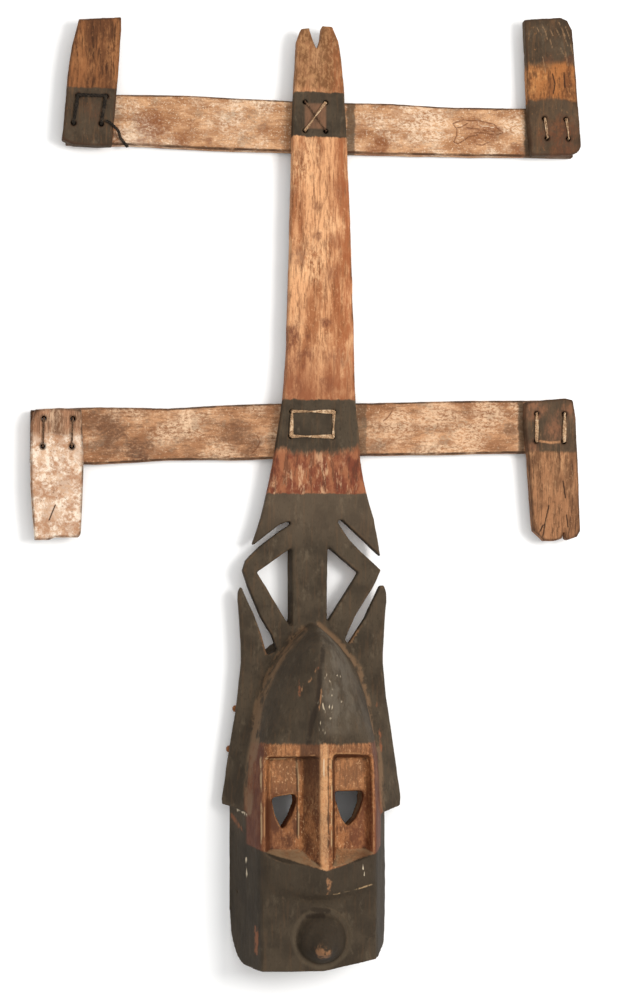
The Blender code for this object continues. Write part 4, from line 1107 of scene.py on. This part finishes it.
def carveMask():
    voxel = maskCarving["voxel"] * coarser
    mesh = remeshed("mask", voxel)
    points, normals, edges = arraysOf(mesh)
    wornAndShadedEdges, hollow = wearAndShadeOf(points, normals, edges, voxel)
    height = points[:, 1] - shiftY
    dome = climb(height, 0.262, 0.012) * climb(-height, -0.400, 0.008)
    dome *= climb(points[:, 2], 0.045, 0.010) * (normals[:, 2] > 0.05)
    points = eased(points, edges, 16, dome * 0.9)
    # the ring round the mouth and the lower edge of the lip are carved softly
    ring = np.linalg.norm(points[:, :2] - (0.003, 0.039 + shiftY), axis=1)
    ring = bell(ring - 0.034, 0.009) * (points[:, 2] > 0.08)
    lip = bell(awayFrom(points[:, :2], maskCarving["lipEdge"]), 0.011) * (points[:, 2] > 0.09)
    points = eased(points, edges, 14, ring * 0.85)
    points = eased(points, edges, 70, lip)
    # the sunk cheeks run softly into the frame round them
    face = (points[:, 2] > 0.070) & (height > 0.128) & (height < 0.252) & (np.abs(points[:, 0]) < 0.080)
    points = eased(points, edges, 8, face * (normals[:, 2] > -0.3) * 0.8)

    flat = points[:, :2].copy()
    front = normals[:, 2] > -0.1
    crease = strokes(flat, maskCarving["creases"], 0.0040) * (normals[:, 2] > -0.2)
    half, _, lines = maskMarks["darkShadeLines"]
    size, amount = maskCarving["grain"]
    push = unevenness(points, size, 5.3) * amount
    for size, amount in maskCarving["unevenness"]:
        push += unevenness(points, size) * amount
    push -= strokes(flat, lines, half) * (height > maskCarving["cutAbove"]) * maskCarving["darkDepth"]
    push -= crease * (height > maskCarving["cutAbove"]) * maskCarving["creaseDepth"]

    marks = {
        "edgeWearAndShade": wornAndShadedEdges * (1 - lip * 0.9),
        # painted shade in the hollows
        "creviceShade": hollow * (1 - lip * 0.9) * (1 - ring * 0.6),
        "creaseLine": crease,
    }
    specks = [*speckles((-4, 262), (14, 322), 34, 4), *speckles((4, 300), (26, 335), 10, 9)]
    for name, (half, lowest, lines) in maskMarks.items():
        lines = [*lines, *specks] if name == "scratches" else lines
        marks[name] = strokes(flat, lines, half) * front * (points[:, 2] > lowest)
    mouthTip = np.linalg.norm(flat - (0.0005, 0.0280 + shiftY), axis=1)
    mouthTip = bell(mouthTip, 0.0098) * (points[:, 2] > 0.10)
    marks["tanPatches"] = np.maximum(mouthTip, marks["tanPatches"])
    # the inside of the hollow and the back are bare wood
    inwards = normals[:, 0] * np.sign(points[:, 0]) < -0.25
    inHead = (height < 0.385) & (points[:, 2] < 0.086) & (np.abs(points[:, 0]) < 0.082)
    inside = inHead & (inwards | ((height < 0.05) & (normals[:, 1] > 0.5)))
    marks["inside"] = ((normals[:, 2] < -0.35) | inside).astype(float)
    keepMarks(mesh, marks)

    points = points + normals * push[:, None]
    points[:, 2] = np.maximum(points[:, 2], maskCarving["lowest"])
    return carvedPiece("mask", mesh, points, maskCarving, maskFinish())


boardCarving = {
    "voxel": 0.0012,
    "unevenness": ((0.024, 0.00040), (0.007, 0.00018)),
    "grain": 0.00014,
    "halfWidths": {"cracks": 0.0009, "scratches": 0.0007, "bare": 0.0018},
}
barCarving = {**boardCarving, "slot": "bar_wood", "triangles": 90000, "crackDepth": 0.0003}
boardCarving = {**boardCarving, "slot": "board_wood", "triangles": 36000, "crackDepth": 0.0007}

boardMarks = {
    "upper_crossbar": {
        "cracks": [
            (
                (172, 986), (177, 988), (185, 991), (192, 990), (202, 991), (211, 989),
                (222, 987), (225, 983), (233, 977), (225, 974), (215, 975),
            ),
            ((173, 985), (176, 981), (182, 982), (187, 985), (190, 987)),
            ((177, 980), (177, 972), (173, 964), (178, 962), (185, 966), (192, 971), (202, 973)),
            ((189, 981.5), (202, 980.5), (215, 978), (230, 979)),
            ((198, 975.5), (215, 976)), ((200, 962), (208, 961), (217, 965.5)), ((221, 1003), (231, 1005)),
        ],
        "scratches": [((176, 986), (183, 984)), ((205, 985), (222, 983)), ((180, 967), (184, 970))],
    },
    "lower_crossbar": {
        "cracks": [((-62, 611), (-58, 604), (-62, 596), (-68, 590)), ((98, 641), (93, 634), (88, 630))],
        "scratches": [
            ((98, 639), (112, 636)), ((90, 630), (100, 628)), ((220, 643), (232, 641)),
            ((140, 603), (160, 601)), ((-150, 612), (-140, 608)),
        ],
    },
    "lower_right_end_board": {
        "cracks": [
            ((283, 531), (279, 514), (275.5, 494)), ((276, 508), (272, 500)),
            ((300, 560), (303, 540)), ((304, 520), (306, 505)),
        ],
        "scratches": [
            ((291, 560), (291.5, 552)), ((279, 512), (280, 505)),
            ((290, 594), (291, 586)), ((310, 580), (312, 560)),
        ],
        "bare": [((270.5, 607), (286, 605), (299, 606.5))],
    },
    "lower_left_end_board": {"cracks": [((-303, 510), (-299.5, 519), (-296, 527.5))]},
    "upper_right_end_board": {
        "cracks": [((290, 1046), (293, 1034), (291, 1022)), ((304, 1048), (305, 1030))],
        "scratches": [
            ((278, 1104), (282, 1095), (284, 1087)), ((287, 1100), (291, 1092)), ((293, 1104), (300, 1090)),
            ((298, 1108), (306, 1092)), ((303, 1096), (309, 1080)), ((306, 1104), (312, 1088)),
            ((277, 1103), (281, 1099)), ((287, 1088), (290, 1077)), ((306, 1073), (309, 1056)),
            ((278, 1066), (282, 1046)), ((312, 1083), (315, 1071)), ((271, 1101), (274, 1096)),
            ((300, 1078), (305, 1067)),
        ],
    },
}


def carveBoard(node, finish, choice, grainSize):
    voxel = choice["voxel"] * coarser
    mesh = remeshed(node, voxel)
    points, normals, edges = arraysOf(mesh)
    wornAndShadedEdges, _ = wearAndShadeOf(points, normals, edges, voxel)
    shift = 1.7 * len(node)
    push = unevenness(points, grainSize, shift) * choice["grain"]
    for size, amount in choice["unevenness"]:
        push += unevenness(points, size, shift) * amount
    marks = {"edgeWearAndShade": wornAndShadedEdges}
    for mark, half in choice["halfWidths"].items():
        lines = boardMarks.get(node, {}).get(mark, ())
        marks[mark] = strokes(points[:, :2], lines, half) * (normals[:, 2] > -0.1)
    keepMarks(mesh, marks)
    push -= marks["cracks"] * choice["crackDepth"]
    return carvedPiece(node, mesh, points + normals * push[:, None], choice, finish)


carved = [carveMask()]
for node in barChoices:
    carved.append(carveBoard(node, barFinish(node), barCarving, (0.026, 0.0018, 0.0018)))
for node in boardChoices:
    carved.append(carveBoard(node, boardFinish(node), boardCarving, (0.0018, 0.026, 0.0018)))
print("carved:", {piece.name: len(piece.data.polygons) for piece in carved})
